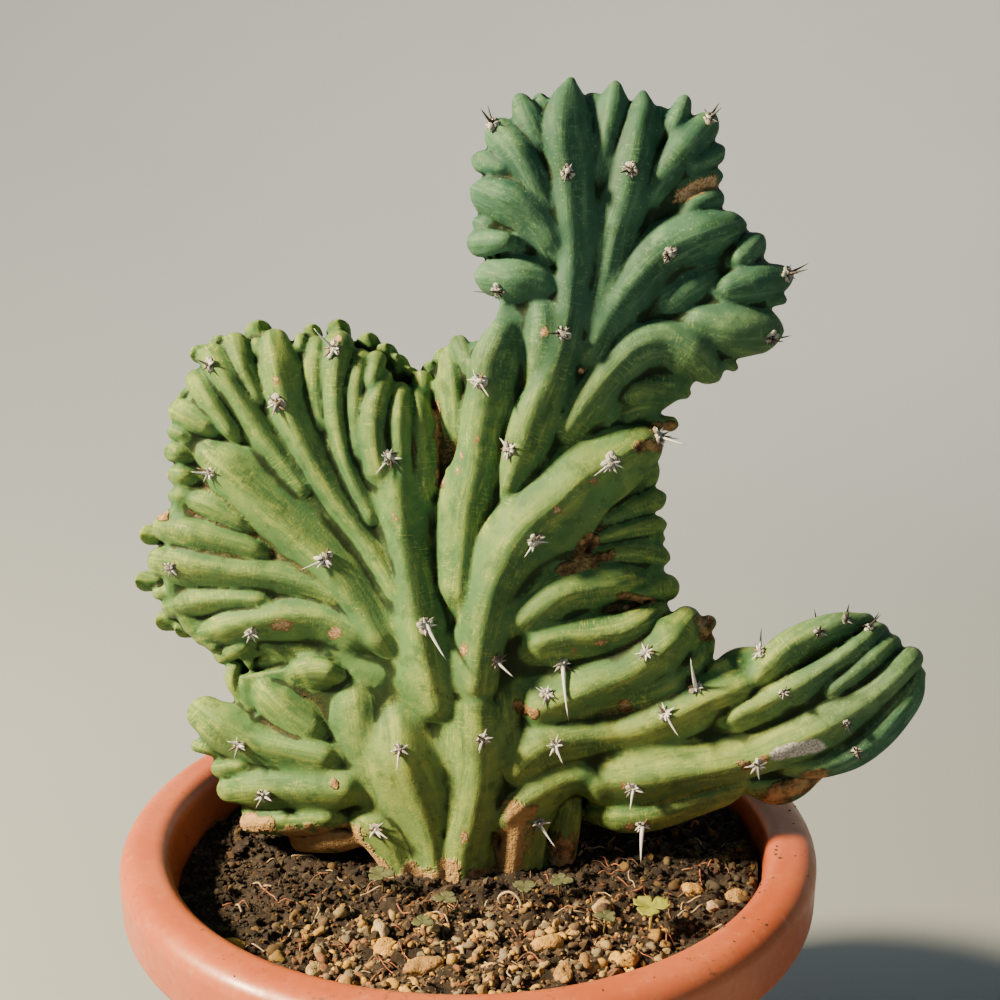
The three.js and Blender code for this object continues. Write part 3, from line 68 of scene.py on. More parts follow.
# Outlines are drawn on the upright plane y = 0 as seen from EYE, and a point that lies
# nearer or further slides along its line of sight. A rib's place in this list is also the
# number that its random waves come from.
RIBS = [
    # crown
    rib(-6, [-17, 372, 4], [-16, 362, 4.5], [-15, 350, 4]),
    rib(-4, [46.5, 474.5, 3.4], [46.5, 468, 4.2], [46, 461, 3.2]),
    rib(-5, [27.5, 473.5, 3], [29, 468, 3.6], [31, 461, 3]),
    rib(-4, [70, 470, 3], [70, 463, 3.5], [68, 455, 2.8]),
    rib(3, [38, 481, 1.9], [37.5, 477.5, 4.6], [37, 472, 7], [37, 465, 9], [39, 450, 8.2], [40, 435, 7.6],
        [41, 420, 5.8], [40, 405, 5.6], [38, 390, 5.8], [34, 375, 7], [28, 360, 8.5], [22, 342, 7],
        [17, 330, 5], [13, 320, 3.5], lean=(-0.5, 0)),
    rib(0, [12.5, 463, 6.2], [18, 456, 7.8], [24, 446, 7.4], [30, 436, 5.6], [36, 424, 3.4], lean=(0, 0.2)),
    rib(-1, [20, 474, 3.4], [22.5, 468, 5.4], [26.5, 460, 5], [31, 450, 3.8]),
    rib(-2, [5.5, 453, 4.2], [13, 451, 4.4], [21, 448, 3.6]),
    rib(1, [8, 441, 7.2], [20, 436, 7.4], [31, 425, 6], [37, 412, 4.4], lean=(0, 0.2)),
    rib(-3, [4, 431, 3.4], [12, 430, 3.8]),
    rib(1, [5, 423.5, 5], [15, 424, 4.8], [24, 422, 3.6]),
    rib(0, [9, 411, 6.6], [20, 410, 7.2], [29, 408, 6], [35, 400, 4.6]),
    rib(-3, [17, 398, 3.2], [24, 393, 4]),
    rib(-1, [54, 479, 2.6], [53.5, 474, 5.2], [52, 465, 5.9], [50, 452, 4.6], [48, 440, 3.6]),
    rib(2, [64, 476.5, 1.8], [64, 473.5, 3.9], [63, 467, 6.2], [61, 455, 9.2], [58, 440, 9.8],
        [54, 425, 6.4], [51, 410, 5], [47, 395, 4.6], [43, 380, 4.4], lean=(0.1, 0)),
    rib(-2, [79, 474, 2.8], [77, 468, 5.2], [72, 458, 4.8]),
    rib(0, [87.5, 466, 5], [81.5, 459, 7.4], [75, 451, 7], [69, 442, 5.4], [65, 431, 3.6], lean=(0, 0.2)),
    rib(-2, [91, 456, 4.2], [84, 451.5, 5], [77, 446, 4.4]),
    rib(-5, [91, 447.5, 3.4], [82, 446, 4.4], [73, 440, 4.4]),
    rib(-2, [91, 439.5, 4.2], [84, 437, 4.2], [75, 432, 4]),
    rib(2, [98, 429, 6], [88, 426, 8.2], [75, 420, 9], [64, 409, 8.6], [54, 396, 6.8], [47, 383, 5.4],
        [42, 372, 4.4], lean=(-0.1, 0.2)),
    rib(-2, [92, 411.5, 5], [85, 408, 7.4], [77, 402, 7.6], [69, 395, 5.6]),
    rib(0, [106.5, 423, 5.6], [101.5, 418, 6.2], [95, 413, 5.4]),
    rib(-2, [110, 416, 2.8], [102, 414, 3.4]),
    rib(1, [117, 410.5, 5], [108, 409, 7.4], [98, 407, 7.2], [88, 403, 5.6], lean=(0, 0.2)),
    rib(-2, [118, 402.5, 2.8], [109, 400.5, 3.6]),
    rib(1, [111, 391, 8.6], [99, 391.5, 10.4], [87, 394, 8], [75, 395, 6], lean=(0, 0.1)),
    rib(-3, [101, 377, 3.2], [94, 380, 4.4]),
    rib(2, [92, 375.5, 5.5], [85, 382, 8], [76, 386, 7.2], [66, 384, 7.2], [56, 375, 7.2], [47, 364, 6.6],
        [40, 354, 5.4], [34, 344, 4.4], lean=(-0.1, 0.3)),
    # neck
    rib(0, [28, 403, 5.5], [29, 390, 6.6], [27, 376, 5.6], [23, 363, 4.2]),
    rib(2, [16, 390, 7], [12, 380, 9.6], [11, 365, 10], [8.5, 350, 9.7], [6.5, 335, 9.4], [3, 320, 9.2],
        [1, 303, 8.7], [-0.5, 287, 7.8], [-1.5, 271, 6], lean=(-0.6, 0)),
    rib(-3, [3.5, 385, 3.2], [3, 375, 3.6]),
    rib(-2, [-3, 386, 3.5], [0, 378, 4], [1, 368, 3.8]),
    rib(-2, [-6, 381, 4.5], [-5, 370, 5.2], [-4, 356, 4.8], [-4, 340, 4.4]),
    rib(-4, [83, 367, 3.8], [75, 366, 4.4]),
    rib(-1, [74, 367, 5.4], [65, 367, 6], [55, 363, 5], lean=(0, 0.1)),
    rib(-5, [78, 355, 4.6], [69, 357, 5]),
    rib(-6, [72.5, 347, 3], [65, 347, 3.8]),
    rib(6, [68, 347, 8], [57, 339, 12.4], [46, 332, 14], [36, 322, 14], [24, 311, 13.5], [15, 297, 11.7],
        [9, 281, 10], [5.5, 264, 8.2], [3, 247, 5.6], lean=(-0.15, 0.2), proud=12),
    rib(-5, [68, 336, 6.8], [60, 331, 7], [50, 325, 6.4]),
    rib(-4, [73, 325.5, 4.4], [65, 322, 4.2], [57, 318, 4], [49, 314, 3.8]),
    rib(-4, [74, 315, 3.7], [66, 314, 4.2], [57, 311.5, 4.4], [47, 308, 4]),
    rib(-6, [75.5, 309.5, 2.8], [68, 308.5, 3.2]),
    rib(-3, [75, 302, 4.5], [67, 303.5, 4.9], [57, 303, 5], [45, 301.5, 4.6]),
    rib(-5, [75, 296, 3.6], [68, 296, 3.8]),
    rib(2, [70, 294, 4.4], [61, 292.5, 7], [50, 291, 8.8], [38.5, 289, 10.4], [29, 283, 10.4],
        [21, 276, 9.6], [14, 267, 8.2], lean=(0, -0.35)),
    rib(-5, [78, 289.5, 5.4], [69, 287.5, 5.4], [59, 285, 5]),
    rib(-8, [66, 281, 3], [57, 280.5, 4], [46, 280, 4]),
    rib(2, [75, 280, 4.5], [70, 275.5, 6.3], [61, 271, 7.4], [50, 268.8, 8.4], [38.5, 268.3, 8.8],
        [28, 266, 8], [18, 263, 6.8]),
    rib(3, [86.5, 276.5, 5.4], [80, 268.5, 7.5], [71, 260, 8.7], [61, 253.5, 9.2], [51, 249.5, 8.8],
        [43, 245.5, 8], [35, 241.5, 7], [28, 238.5, 5.4], lean=(0.2, -0.25), proud=15),
    rib(-6, [95, 275, 3.4], [91, 269, 4.6], [86, 262, 5.2]),
    rib(-2, [21.5, 237.5, 4.2], [25, 240, 6.1], [31, 241, 7.7], [40, 242.5, 8.8], [50, 242, 9.6],
        [60, 243, 9.4], [71, 245, 9.4], [81, 249, 8.8], [88.5, 256, 7], lean=(0, 0.1)),
    rib(-7, [93, 267, 5], [91, 259, 8], [88, 251, 8]),
    # arm
    rib(1, [119, 249.5, 3.6], [112, 247.5, 5.9], [103, 244, 7.8], [94, 240, 9.2], [84, 234.5, 9.6],
        [73, 229.5, 8.7], [61, 226.5, 7.8], [50, 225, 8.4], [42, 224, 10.2], [33, 222, 10.5],
        [25, 217, 8.8], [19, 209, 6.8], [15.5, 201, 5], lean=(0, 0.1)),
    rib(-2, [157, 274, 4.6], [150, 271.5, 7.4], [140, 266.5, 9.8], [130, 260, 10.8], [122, 252, 9.6],
        [113, 245, 7.6], [103, 239, 6.6], lean=(-0.4, 0.5)),
    rib(0, [162.5, 270.5, 4.5], [156, 264.5, 5.1], [147, 257, 5.8], [138, 250, 6.6], [130, 244.5, 7.2],
        [120, 238.5, 7.4], [109, 233.5, 7], [97, 229.5, 6.2], lean=(-0.2, 0.3)),
    rib(-1, [168, 266, 4.1], [162, 260.5, 4.6], [155, 254, 4.9], [147, 247, 5.2], [138, 240.5, 5.4]),
    rib(2, [176, 260, 5], [170, 253.5, 6.1], [163, 247, 6.8], [155, 241.5, 8.2], [147, 236.5, 9.6],
        [138, 231.5, 10.2], [128, 226.5, 10.5], [115, 220.5, 10.5], [100, 217, 11], [85, 214.5, 11],
        [72, 212, 10.5], [61, 210.5, 9.2], [53, 208.5, 6.4], lean=(0.1, -0.7), proud=15),
    rib(-2, [178, 253, 4.2], [175.5, 246, 6.6], [169, 237, 8.4], [161.5, 228, 8.9], [153, 221, 8.7],
        [144, 216.5, 7.6], [134, 213.5, 6.8], [123, 211.5, 6.6], lean=(0.5, -0.5), back=4),
    rib(-3, [52.5, 193.5, 6], [60, 193.5, 8.6], [70, 194, 9.5], [80, 196.5, 9.5], [90, 200, 9],
        [100, 203.5, 8.6], [110, 206.5, 7.8], [121, 209.5, 6.8], lean=(0, -0.6), back=3),
    rib(-5, [140, 209.5, 4], [134, 206, 6.2], [127, 203.5, 7.4], [118, 204, 7.2], [108, 205, 6.4], back=2),
    # trunk
    rib(2, [2, 237, 8.4], [2, 226, 10.4], [2, 212, 10.2], [1, 200, 9.8], [-1, 188, 9.8], [-4, 176, 10],
        [-5, 163, 9.6], [-5, 150, 9], lean=(0.2, 0), proud=5),
    rib(-5, [13, 248, 8], [14, 232, 9.5], [14, 216, 9.5], [12, 200, 9], [10, 184, 9], [8, 167, 9],
        [8, 150, 9], proud=15),
    rib(0, [53, 209, 4.4], [43, 208, 5.4], [32, 203, 6.4], [22, 196, 7.4], [15, 189, 7], proud=8),
    rib(-1, [19, 193, 6.6], [19, 184, 6.8], [18, 172, 6], [17, 160, 5.4], [17, 150, 5], proud=15),
    rib(-8, [41, 200, 5], [40, 188, 5.4], [38.5, 174, 5.4], [37, 160, 5], [36, 150, 5], back=12, proud=15),
    rib(4, [-31, 245, 5.4], [-29, 230, 9.8], [-28, 215, 12], [-24, 203, 10], [-20, 191, 8], [-17, 179, 6.4],
        [-15, 165, 6], [-14, 150, 6], lean=(0.2, 0), proud=44),
    rib(-1, [-48, 192, 5.6], [-42, 188, 8.2], [-34, 180, 9.2], [-29, 169, 8], [-28, 157, 7],
        [-28, 150, 6.6], proud=15),
    rib(-2, [-46, 256, 10], [-45, 240, 12.4], [-43, 223, 12], [-40, 207, 10], [-36, 192, 9], proud=44),
    # left lobe, top
    rib(3, [-27, 340, 7.6], [-26, 330, 10.4], [-24, 311, 10.3], [-22, 295, 9.9], [-20, 280, 9.4],
        [-17.5, 265, 8.6], [-15, 252, 7], [-12, 238, 4.8], lean=(-0.25, 0), proud=15),
    rib(3, [-32, 373, 3.8], [-35, 362, 5.2], [-36, 350, 6.2], [-34, 337, 6.2], [-31, 322, 5.6]),
    rib(2, [-25.5, 368, 3.8], [-26, 358, 4.7], [-26, 345, 4.8], [-25.5, 332, 5], [-25, 318, 4.6]),
    rib(0, [-19, 367, 3.4], [-18, 357, 4.5], [-18, 345, 4.8], [-17, 331, 5], [-15, 316, 5]),
    rib(1, [-48, 386, 5.4], [-50, 372, 5.4], [-50, 358, 5.4], [-48, 345, 5.2], [-44, 332, 4.8],
        [-38, 319, 4.4], [-33, 307, 3.8]),
    rib(0, [-40, 381, 3.4], [-42, 370, 3.8], [-42.5, 357, 3.8], [-41, 344, 3.8], [-37, 331, 3.8]),
    rib(0, [-34, 380, 3.6], [-36, 371, 3.8], [-37, 361, 3.6]),
    rib(-1, [-56.5, 386, 3.2], [-57.5, 376, 3.9], [-57.5, 366, 3.9], [-56, 355, 3.7], [-52, 344, 3.5]),
    rib(3, [-72, 387, 5], [-70, 376, 7.6], [-67, 363, 8.4], [-62, 350, 8.4], [-56, 337, 7.8],
        [-49, 325, 6.4], [-41, 312, 5], [-33, 299, 4.6], [-26.5, 286, 4.2], [-21.5, 273, 3.4],
        lean=(-0.5, 0)),
    rib(-2, [-62.5, 388, 3.4], [-63, 379, 3.6]),
    rib(-2, [-79, 386, 3.2], [-79, 374, 3.6]),
    rib(0, [-87, 386, 4.6], [-85, 377, 5.2], [-80, 366, 4.9], [-75, 356, 4.4]),
    rib(1, [-96, 381, 5.4], [-90, 371, 6], [-84, 361, 6], [-78, 351, 5.8], [-71, 341, 5.6], [-64, 331, 5],
        [-56, 320, 4.6], lean=(-0.2, 0)),
    rib(0, [-102, 372, 4.6], [-97, 363, 5.2], [-91, 353, 5.2], [-85, 345, 4.8]),
    rib(4, [-98, 345, 6.8], [-88, 337, 10], [-76, 326, 12], [-62, 313, 12.4], [-50, 299, 11.4],
        [-41, 285, 10], [-33, 270, 8.6], [-26, 256, 6.6], lean=(-0.5, -0.5)),
    # left lobe, edge
    rib(-1, [-109, 360, 5], [-100, 355, 5.2], [-91, 348, 5]),
    rib(-3, [-112, 352, 4.2], [-103, 348.5, 4.6]),
    rib(-1, [-113, 344, 5.2], [-103, 341.5, 5.6]),
    rib(-1, [-112, 335, 5.4], [-102, 334, 5.6]),
    rib(-2, [-113, 326.5, 4.8], [-104, 327, 5]),
    rib(-3, [-114, 319.5, 4], [-104, 319, 4.4]),
    rib(-1, [-109, 326, 3.8], [-100, 322.5, 5.2], [-90, 317, 5.5], [-78, 308, 5]),
    rib(0, [-117, 314, 5.8], [-106, 311, 6.7], [-95, 308, 6.5], [-84, 304.5, 5.9], [-72, 300, 5.2],
        lean=(0, 0.1)),
    rib(1, [-120, 300, 5.8], [-108, 298, 6.7], [-95, 296, 6.5], [-80, 294, 6.3], [-66, 291, 6.3],
        [-54, 286, 5.6], [-45, 278, 5], lean=(0, 0.1)),
    rib(-3, [-122, 287, 3.6], [-112, 288.5, 4]),
    rib(-1, [-117, 281, 4.2], [-108, 283.5, 5], [-96, 284.5, 5], [-84, 284, 4.8], [-70, 282, 4.6]),
    rib(1, [-105, 270, 4.8], [-96, 272.5, 6.3], [-84, 275, 7], [-70, 277, 7.5], [-57, 276, 7.4],
        [-45, 270.5, 6.8], [-34, 262, 6], lean=(0, 0.1)),
    rib(-3, [-98, 261, 3.8], [-91, 264, 4.6], [-82, 267, 4.6]),
    rib(-7, [-84, 257, 5], [-74, 261, 7], [-60, 263, 8.6]),
    rib(-5, [-93, 257, 3.4], [-95, 250, 4.2], [-92, 243, 4.8]),
    rib(0, [-73, 251.5, 4], [-66, 254, 6.2], [-57, 254, 7], [-47, 250, 8.4]),
    # left lobe, foot
    rib(0, [-84, 250, 4.6], [-79, 243, 6.3], [-72, 236, 7], [-64, 229, 6.8], [-55, 223, 6], lean=(0, 0.1)),
    rib(-4, [-91, 245, 3.2], [-87, 237, 4.2]),
    rib(2, [-106, 236, 7.6], [-98, 229, 8.8], [-86, 222.5, 8.1], [-73, 219, 7.7], [-60, 216, 7.4],
        [-47, 211, 6.8], lean=(0, 0.1)),
    rib(-3, [-110, 222, 4], [-101, 218, 4.6]),
    rib(-2, [-101, 212, 4.4], [-94, 213, 4.7], [-84, 213, 4.6]),
    rib(2, [-98, 202.5, 5.4], [-88, 203.5, 8], [-76, 203.5, 8.8], [-64, 203, 9], [-51, 203, 9],
        [-38, 200, 8], lean=(0, -0.2)),
    rib(-4, [-90, 193.5, 3.6], [-76, 193.5, 4.6], [-60, 193.5, 5.6]),
    rib(0, [-90, 187.8, 4.6], [-80, 187.8, 5.2], [-70, 188, 5.3], [-60, 189, 5.4], [-47, 191, 6]),
    rib(-6, [-69, 180, 5.4], [-60, 180.5, 6.2], [-48, 181, 6.4], [-37, 182, 6.4], back=8),
]

# The small tips of the back row that show over the crest: [x, z, half width].
BACK_TIPS = [
    [-78, 390, 5.4], [-58, 390, 3.8], [-48, 391, 4.6], [-37, 386, 4.6], [-30.5, 382, 4.6],
    [-26.5, 377.5, 5], [-22, 373, 4.6], [-101, 382, 3.6], [-93, 386, 3.6], [-13, 375.5, 4.4],
    [-9, 381, 3.6], [27, 474, 3.2], [45.5, 474, 3.4], [59, 471, 3], [71, 469, 3.4], [-124, 311, 4.2],
    [-127, 292, 4.2], [-120, 275.5, 4.2], [-113, 272, 3.6], [-106, 365, 4.2],
]
# The lobe that shows behind the arm, in the same form.
LOBE_BEHIND = [[124, 252.5, 5.6], [117, 255, 8.2], [109, 254.5, 9.4], [101, 251, 9.6], [92, 246, 8.4]]

# The flesh between the ribs: wide lofts [x, z, half width] that lie DEEP under the ridges.
CORES = [
    [[-98, 368, 7], [-103, 352, 7], [-105, 340, 7], [-106, 326, 7], [-109, 312, 8], [-112, 298, 8],
        [-111, 286, 8], [-106, 276, 8], [-97, 267, 7]],
    [[-64, 378, 6], [-49, 376, 6], [-37, 371, 6], [-27, 364, 6], [-18, 357, 5]],
    [[-20, 362, 12], [-24, 345, 22], [-23, 315, 25], [-17, 285, 24], [-10, 255, 22], [-5, 225, 24],
        [-3, 195, 26], [-1, 172, 28], [1, 156, 27]],
    [[-74, 370, 22], [-70, 345, 30], [-58, 315, 34], [-42, 284, 28], [-26, 258, 22]],
    [[-104, 294, 13], [-84, 290, 26], [-60, 280, 28], [-36, 262, 24]],
    [[-92, 219, 12], [-74, 212, 20], [-54, 207, 22], [-32, 202, 24]],
    [[-46, 250, 10], [-30, 236, 20], [-10, 222, 24], [6, 208, 24]],
    [[40, 392, 24], [34, 365, 27], [25, 340, 22], [21, 315, 19], [22, 290, 19], [22, 268, 21],
        [14, 245, 20]],
    [[44, 462, 18], [50, 442, 30], [60, 420, 38], [62, 402, 38], [54, 384, 34], [42, 368, 26]],
    [[-91, 246, 7], [-70, 246, 12], [-50, 240, 14]],
    [[74, 262, 8], [56, 258, 12], [28, 252, 16]],
    [[13, 402, 8], [24, 398, 12], [34, 390, 14]],
    [[8, 238, 12], [36, 234, 10], [66, 236, 8]],
    [[158, 250, 9], [140, 237, 15], [118, 227, 16], [95, 222, 17], [72, 219, 17], [50, 217, 17],
        [28, 211, 14]],
]

# The spine cushions on the ridges: [x, z, length of the long spine, its direction in degrees
# from +X towards +Z].
AREOLES = [
    [37, 449, 5, 250], [60, 450, 5, 200], [75, 419.5, 5, 240], [88, 468, 6, 40], [119, 412, 8, 15],
    [58, 478, 7, 95], [10, 466, 8, 130], [114, 388, 5, 350], [36, 390, 7, 180], [5, 372, 8, 300],
    [12, 406, 4, 180], [-50, 384, 12, 130], [-97, 378, 6, 150], [-72, 363, 6, 250], [-30, 342, 9, 230],
    [-99, 336, 7, 170], [-56, 301, 10, 200], [-116, 297.5, 4, 180], [-17, 274, 16, 300], [55, 340, 9, 215],
    [26, 309, 8, 235], [73, 350, 11, 345], [5.5, 225, 6, 250], [11, 258.5, 9, 320], [31.5, 244.5, 6, 250],
    [37.5, 258, 22, 272], [35, 222.5, 8, 290], [28.5, 188, 12, 305], [-93, 222.5, 6, 250],
    [-84, 200.5, 6, 240], [-38.5, 185, 7, 330], [-28, 220.5, 9, 260], [71, 262, 5, 200], [91, 247, 17, 105],
    [126, 245, 6, 320], [158.5, 272.5, 8, 60], [149, 276, 5, 88], [139, 271, 4, 100], [117, 214, 6, 270],
    [67, 203.5, 9, 255], [71, 187, 15, 262], [79, 236, 11, 300], [152, 232, 5, 290], [157, 219.5, 4, 300],
    [116, 262, 5, 88], [-86, 271, 4, 200], [16, 345, 3, 200],
]
# The larger stones, each lying in its own hollow: [x, y, half sizes].
STONES = [
    [-29, -70, 6.5, 5, 3.6], [-15, -84, 6.8, 4.4, 3.4], [-33, -60, 4.4, 3.6, 2.8], [30, -72, 7.2, 4.4, 3.4],
    [52, -48, 4.2, 3.4, 3], [87, -36, 4.2, 5, 3.4], [104, -38, 4.6, 3.4, 2.8], [94, -48, 3.2, 3, 2.4],
    [-88, -62, 6.2, 3.2, 2.4], [-54, -84, 4.6, 3.4, 2.8], [58, -84, 4.4, 3.8, 3], [35, -92, 5, 3.6, 2.8],
    [-60, 66, 5.4, 4.2, 3.2], [10, 88, 6, 4.6, 3.4], [72, 60, 5, 4, 3],
]
# The seedlings in the soil: [x, y, stem height, leaf size].
CLOVERS = [
    [-34, -34, 9, 6.5], [-8, -52, 8, 5.5], [22, -44, 8, 5.5], [36, -40, 8, 5.5], [52, -62, 7, 5],
    [68, -66, 12, 8.5], [-16, -64, 7, 5],
]

# Marks on the skin by their place on the outline plane: lines [x, z, x, z, radius] and
# spots [x, z, radius].
CORK_LINES = [
    [73, 354, 79, 352, 4.4], [93, 276, 95, 270, 4.6], [19, 192, 18, 178, 9.5], [17, 180, 17, 160, 7],
    [39, 178, 38, 160, 7.5], [-72, 179, -50, 180, 9.5], [-47, 180, -32, 162, 3.4], [-10, 166, -6, 158, 6.5],
    [37, 297, 56, 302.5, 3.4], [43, 302, 48, 309, 4], [-91, 187, -85, 187, 6.4], [122, 199, 142, 207, 6],
    [-11.5, 362, -10, 332, 2.4], [66, 346, 74, 347, 3.4], [60, 286, 72, 284, 2.2], [20, 239, 26, 236, 3],
]
CORK_SPOTS = [
    [-117, 352, 3.4], [-117, 335, 3.2], [-118, 319, 3.4], [-117, 274, 3.4], [-26.5, 379, 4.6], [63, 239, 4],
    [80, 236, 3.4], [-55, 205, 2.6], [112, 214, 3.6],
]
SCARS = [
    [29, 390, 2.4], [39, 397, 2], [3.5, 351, 2.4], [-72.5, 372.5, 2.6], [16, 345, 2.4], [-2, 343, 2.4],
    [-2.5, 337, 2.2], [43, 376, 2], [48, 333, 2.2], [34.5, 321, 2.8], [-29, 318, 3], [-2.5, 264, 3],
    [41.5, 263.5, 2], [52, 266, 2.2], [62, 281, 2.4], [-2.5, 181, 3.4], [-53, 271, 3.2], [-86, 271, 2.4],
    [-74, 274, 4.6], [63, 204, 3], [66, 186, 3], [112.5, 214, 3], [119, 216, 2.6], [-48, 388, 2],
]
WOUNDS = [[79, 441, 90, 445.5, 3.8]]
TAN_BARK = [
    [-93, 187, -85, 187, 9], [-72, 180, -48, 181, 11], [18, 190, 16, 164, 10], [-47, 181, -31, 162, 6],
    [-10, 168, -6, 158, 8],
]
DUST_LINES = [
    [84, 234, 125, 250, 9], [100, 218, 165, 246, 10], [60, 227, 96, 238, 8], [57, 229, 74, 227, 8],
    [-20, 225, -30, 200, 12], [60, 215, 100, 219, 7], [-15, 252, -12, 243, 6], [54, 402, 70, 426, 6],
    [69, 389, 93, 401, 6], [14, 434, 25, 414, 5], [12, 466, 18, 458, 4], [96, 394, 113, 395, 6],
]
CHALK_LINES = [[125, 219, 141, 222, 5]]
DRY_CREASES = [
    [-92, 314, 24], [-70, 300, 16], [46, 300, 22], [66, 280, 22], [-10, 345, 16], [-70, 236, 16],
    [75, 240, 26],
]
# Where the folds have grown shut: [x, z, half width, half height], and where the skin is smoothed
# round the feet of ribs: [x, z, radius].
MELT = [
    [-8, 232, 34, 46], [-36, 214, 30, 30], [30, 214, 30, 18], [12, 262, 22, 34], [22, 300, 20, 26],
    [26, 385, 20, 34], [-34, 268, 16, 24], [70, 216, 40, 14], [-29, 331, 13, 14], [24, 275, 14, 22],
    [-60, 206, 34, 14], [44, 395, 14, 18], [74, 400, 30, 22], [50, 425, 13, 32], [28, 418, 12, 26],
    [107, 256, 11, 9],
]
CALM = [[2, 239, 13], [14, 246, 12], [-11, 243, 10], [-29, 246, 9], [56, 226, 10], [30, 232, 10]]
MOSS = (104, -7)  # the middle of the moss patch


# Shapes of the plant
def chance(a, b):
    """The CAD part's repeatable random number in 0..1."""
    s = math.sin(a * 127.1 + b * 311.7 + 17.3) * 43758.5453
    return s - math.floor(s)


def seen(x, z, y):
    """A point of the outline plane y = 0, slid along its line of sight to depth y."""
    k = (np.asarray(y, float) - EYE[1]) / -EYE[1]
    return np.stack([EYE[0] + (x - EYE[0]) * k, y + 0 * k, EYE[2] + (z - EYE[2]) * k], -1)


def ramp(v):
    """v kept between 0 and 1."""
    return np.clip(v, 0, 1)


def soft(v):
    """The same with soft ends."""
    v = ramp(v)
    return v * v * (3 - 2 * v)


def middle(x, z):
    """Depth of the fan's middle."""
    left = np.where(x < 0, 0.0006 * x * x, 0)
    right = 0.003 * np.maximum(0, x - 70) ** 2 * ramp((z - 320) / 40)
    fold = 8 * np.exp(-(((x + 8) / 16) ** 2)) * ramp((z - 280) / 60)
    top = 0.0003 * np.maximum(0, z - 300) ** 2
    wave = WAVE * np.sin(x / 22 + z / 90) * ramp((z - 250) / 60)
    arm = -0.09 * np.maximum(0, x - 60) * ramp((300 - z) / 40)
    return left + right + fold + top + wave + arm


def thickness(x, z):
    """Half the thickness of the fan."""
    v = (z - 235) / np.where(z < 235, 160, 85)
    arm = 5 * ramp((x - 40) / 40) * ramp((300 - z) / 30)
    return FAN_EDGE + arm + FAN_HEART * np.exp(-((x / 95) ** 2) - v * v)


def aged(x, z):
    """How far a place belongs to the old, broad flesh of the trunk."""
    return soft((285 - z) / 60) * soft((95 - np.abs(x - 5)) / 40)


def swell(run, length):
    """How full a rib is, a run behind its tip."""
    q = 1 - ramp(run / length)
    return 0.2 + 0.8 * np.sqrt(1 - q * q)


def spline(p, knots, at):
    """A smooth curve through the rows of p."""
    if len(p) > 2:
        m = np.gradient(p, knots, axis=0)
    else:
        m = np.repeat((p[1:] - p[:-1]) / (knots[1] - knots[0]), 2, 0)
    i = np.clip(np.searchsorted(knots, at, side="right") - 1, 0, len(knots) - 2)
    h = (knots[i + 1] - knots[i])[:, None]
    t = ((at - knots[i]) / h[:, 0])[:, None]
    return (
        (2 * t**3 - 3 * t**2 + 1) * p[i] + (t**3 - 2 * t**2 + t) * h * m[i]
        + (3 * t**2 - 2 * t**3) * p[i + 1] + (t**3 - t**2) * h * m[i + 1]
    )


def unit(v):
    return np.asarray(v, float) / max(1e-9, np.linalg.norm(v))


def circle(steps):
    """Angles in even steps round a circle."""
    return np.linspace(0, 2 * math.pi, steps, endpoint=False)


def ring(steps, z, rx, ry=None, x=0, y=0):
    """A level circle or ellipse of points."""
    a = circle(steps)
    return np.stack([x + rx * np.cos(a), y + (ry or rx) * np.sin(a), 0 * a + z], -1)


def tube_ring(centre, radius, side, up, steps):
    """A circle of points round centre, across a spine or stem."""
    return [centre + radius * (side * math.cos(a) + up * math.sin(a)) for a in circle(steps)]


class Shell:
    """Points, faces and colours gathered from many closed forms."""

    def __init__(self):
        self.points, self.faces, self.tints, self.count = [], [], [], 0

    def add(self, points, faces, tint=None):
        """Adds a form, with one colour for all of it or one a point."""
        points = np.asarray(points, float).reshape(-1, 3)
        self.points.append(points)
        self.faces.extend([[i + self.count for i in f] for f in faces])
        self.count += len(points)
        if tint is not None:
            self.tints.append(np.broadcast_to(np.asarray(tint, float), points.shape))

    def loft(self, rings, first, last, tint=None):
        """Adds a form through rings of points, closed by a point at either end."""
        rings = np.asarray(rings)
        m, n = rings.shape[:2]
        faces = []
        for j in range(n):
            k = (j + 1) % n
            faces.append([0, 1 + k, 1 + j])
            faces.append([1 + m * n, 1 + (m - 1) * n + j, 1 + (m - 1) * n + k])
            for r in range(m - 1):
                a = 1 + r * n
                faces.append([a + j, a + k, a + n + k, a + n + j])
        self.add(np.concatenate([[first], rings.reshape(-1, 3), [last]]), faces, tint)

    def mesh(self, name):
        """The mesh of all forms, in metres, with its faces outwards."""
        me = bpy.data.meshes.new(name)
        me.from_pydata((np.concatenate(self.points) / 1000).tolist(), [], self.faces)
        if self.tints:
            colours = np.column_stack([np.concatenate(self.tints), np.ones(self.count)])
            tint = me.attributes.new("tint", "FLOAT_COLOR", "POINT")
            tint.data.foreach_set("color", colours.astype(np.float32).ravel())
        me.update()
        bm = bmesh.new()
        bm.from_mesh(me)
        bmesh.ops.recalc_face_normals(bm, faces=bm.faces)
        bm.to_mesh(me)
        bm.free()
        return me


def link(name, data):
    ob = bpy.data.objects.new(name, data)
    bpy.context.scene.collection.objects.link(ob)
    return ob


def place(name, me, material, replaced=(), smooth=True):
    """A visible piece, in place of the CAD nodes that it replaces."""
    ob = link(name, me)
    me.materials.clear()
    me.materials.append(material)
    me.polygons.foreach_set("use_smooth", [smooth] * len(me.polygons))
    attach(ob, "root")
    if replaced:
        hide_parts(*replaced)


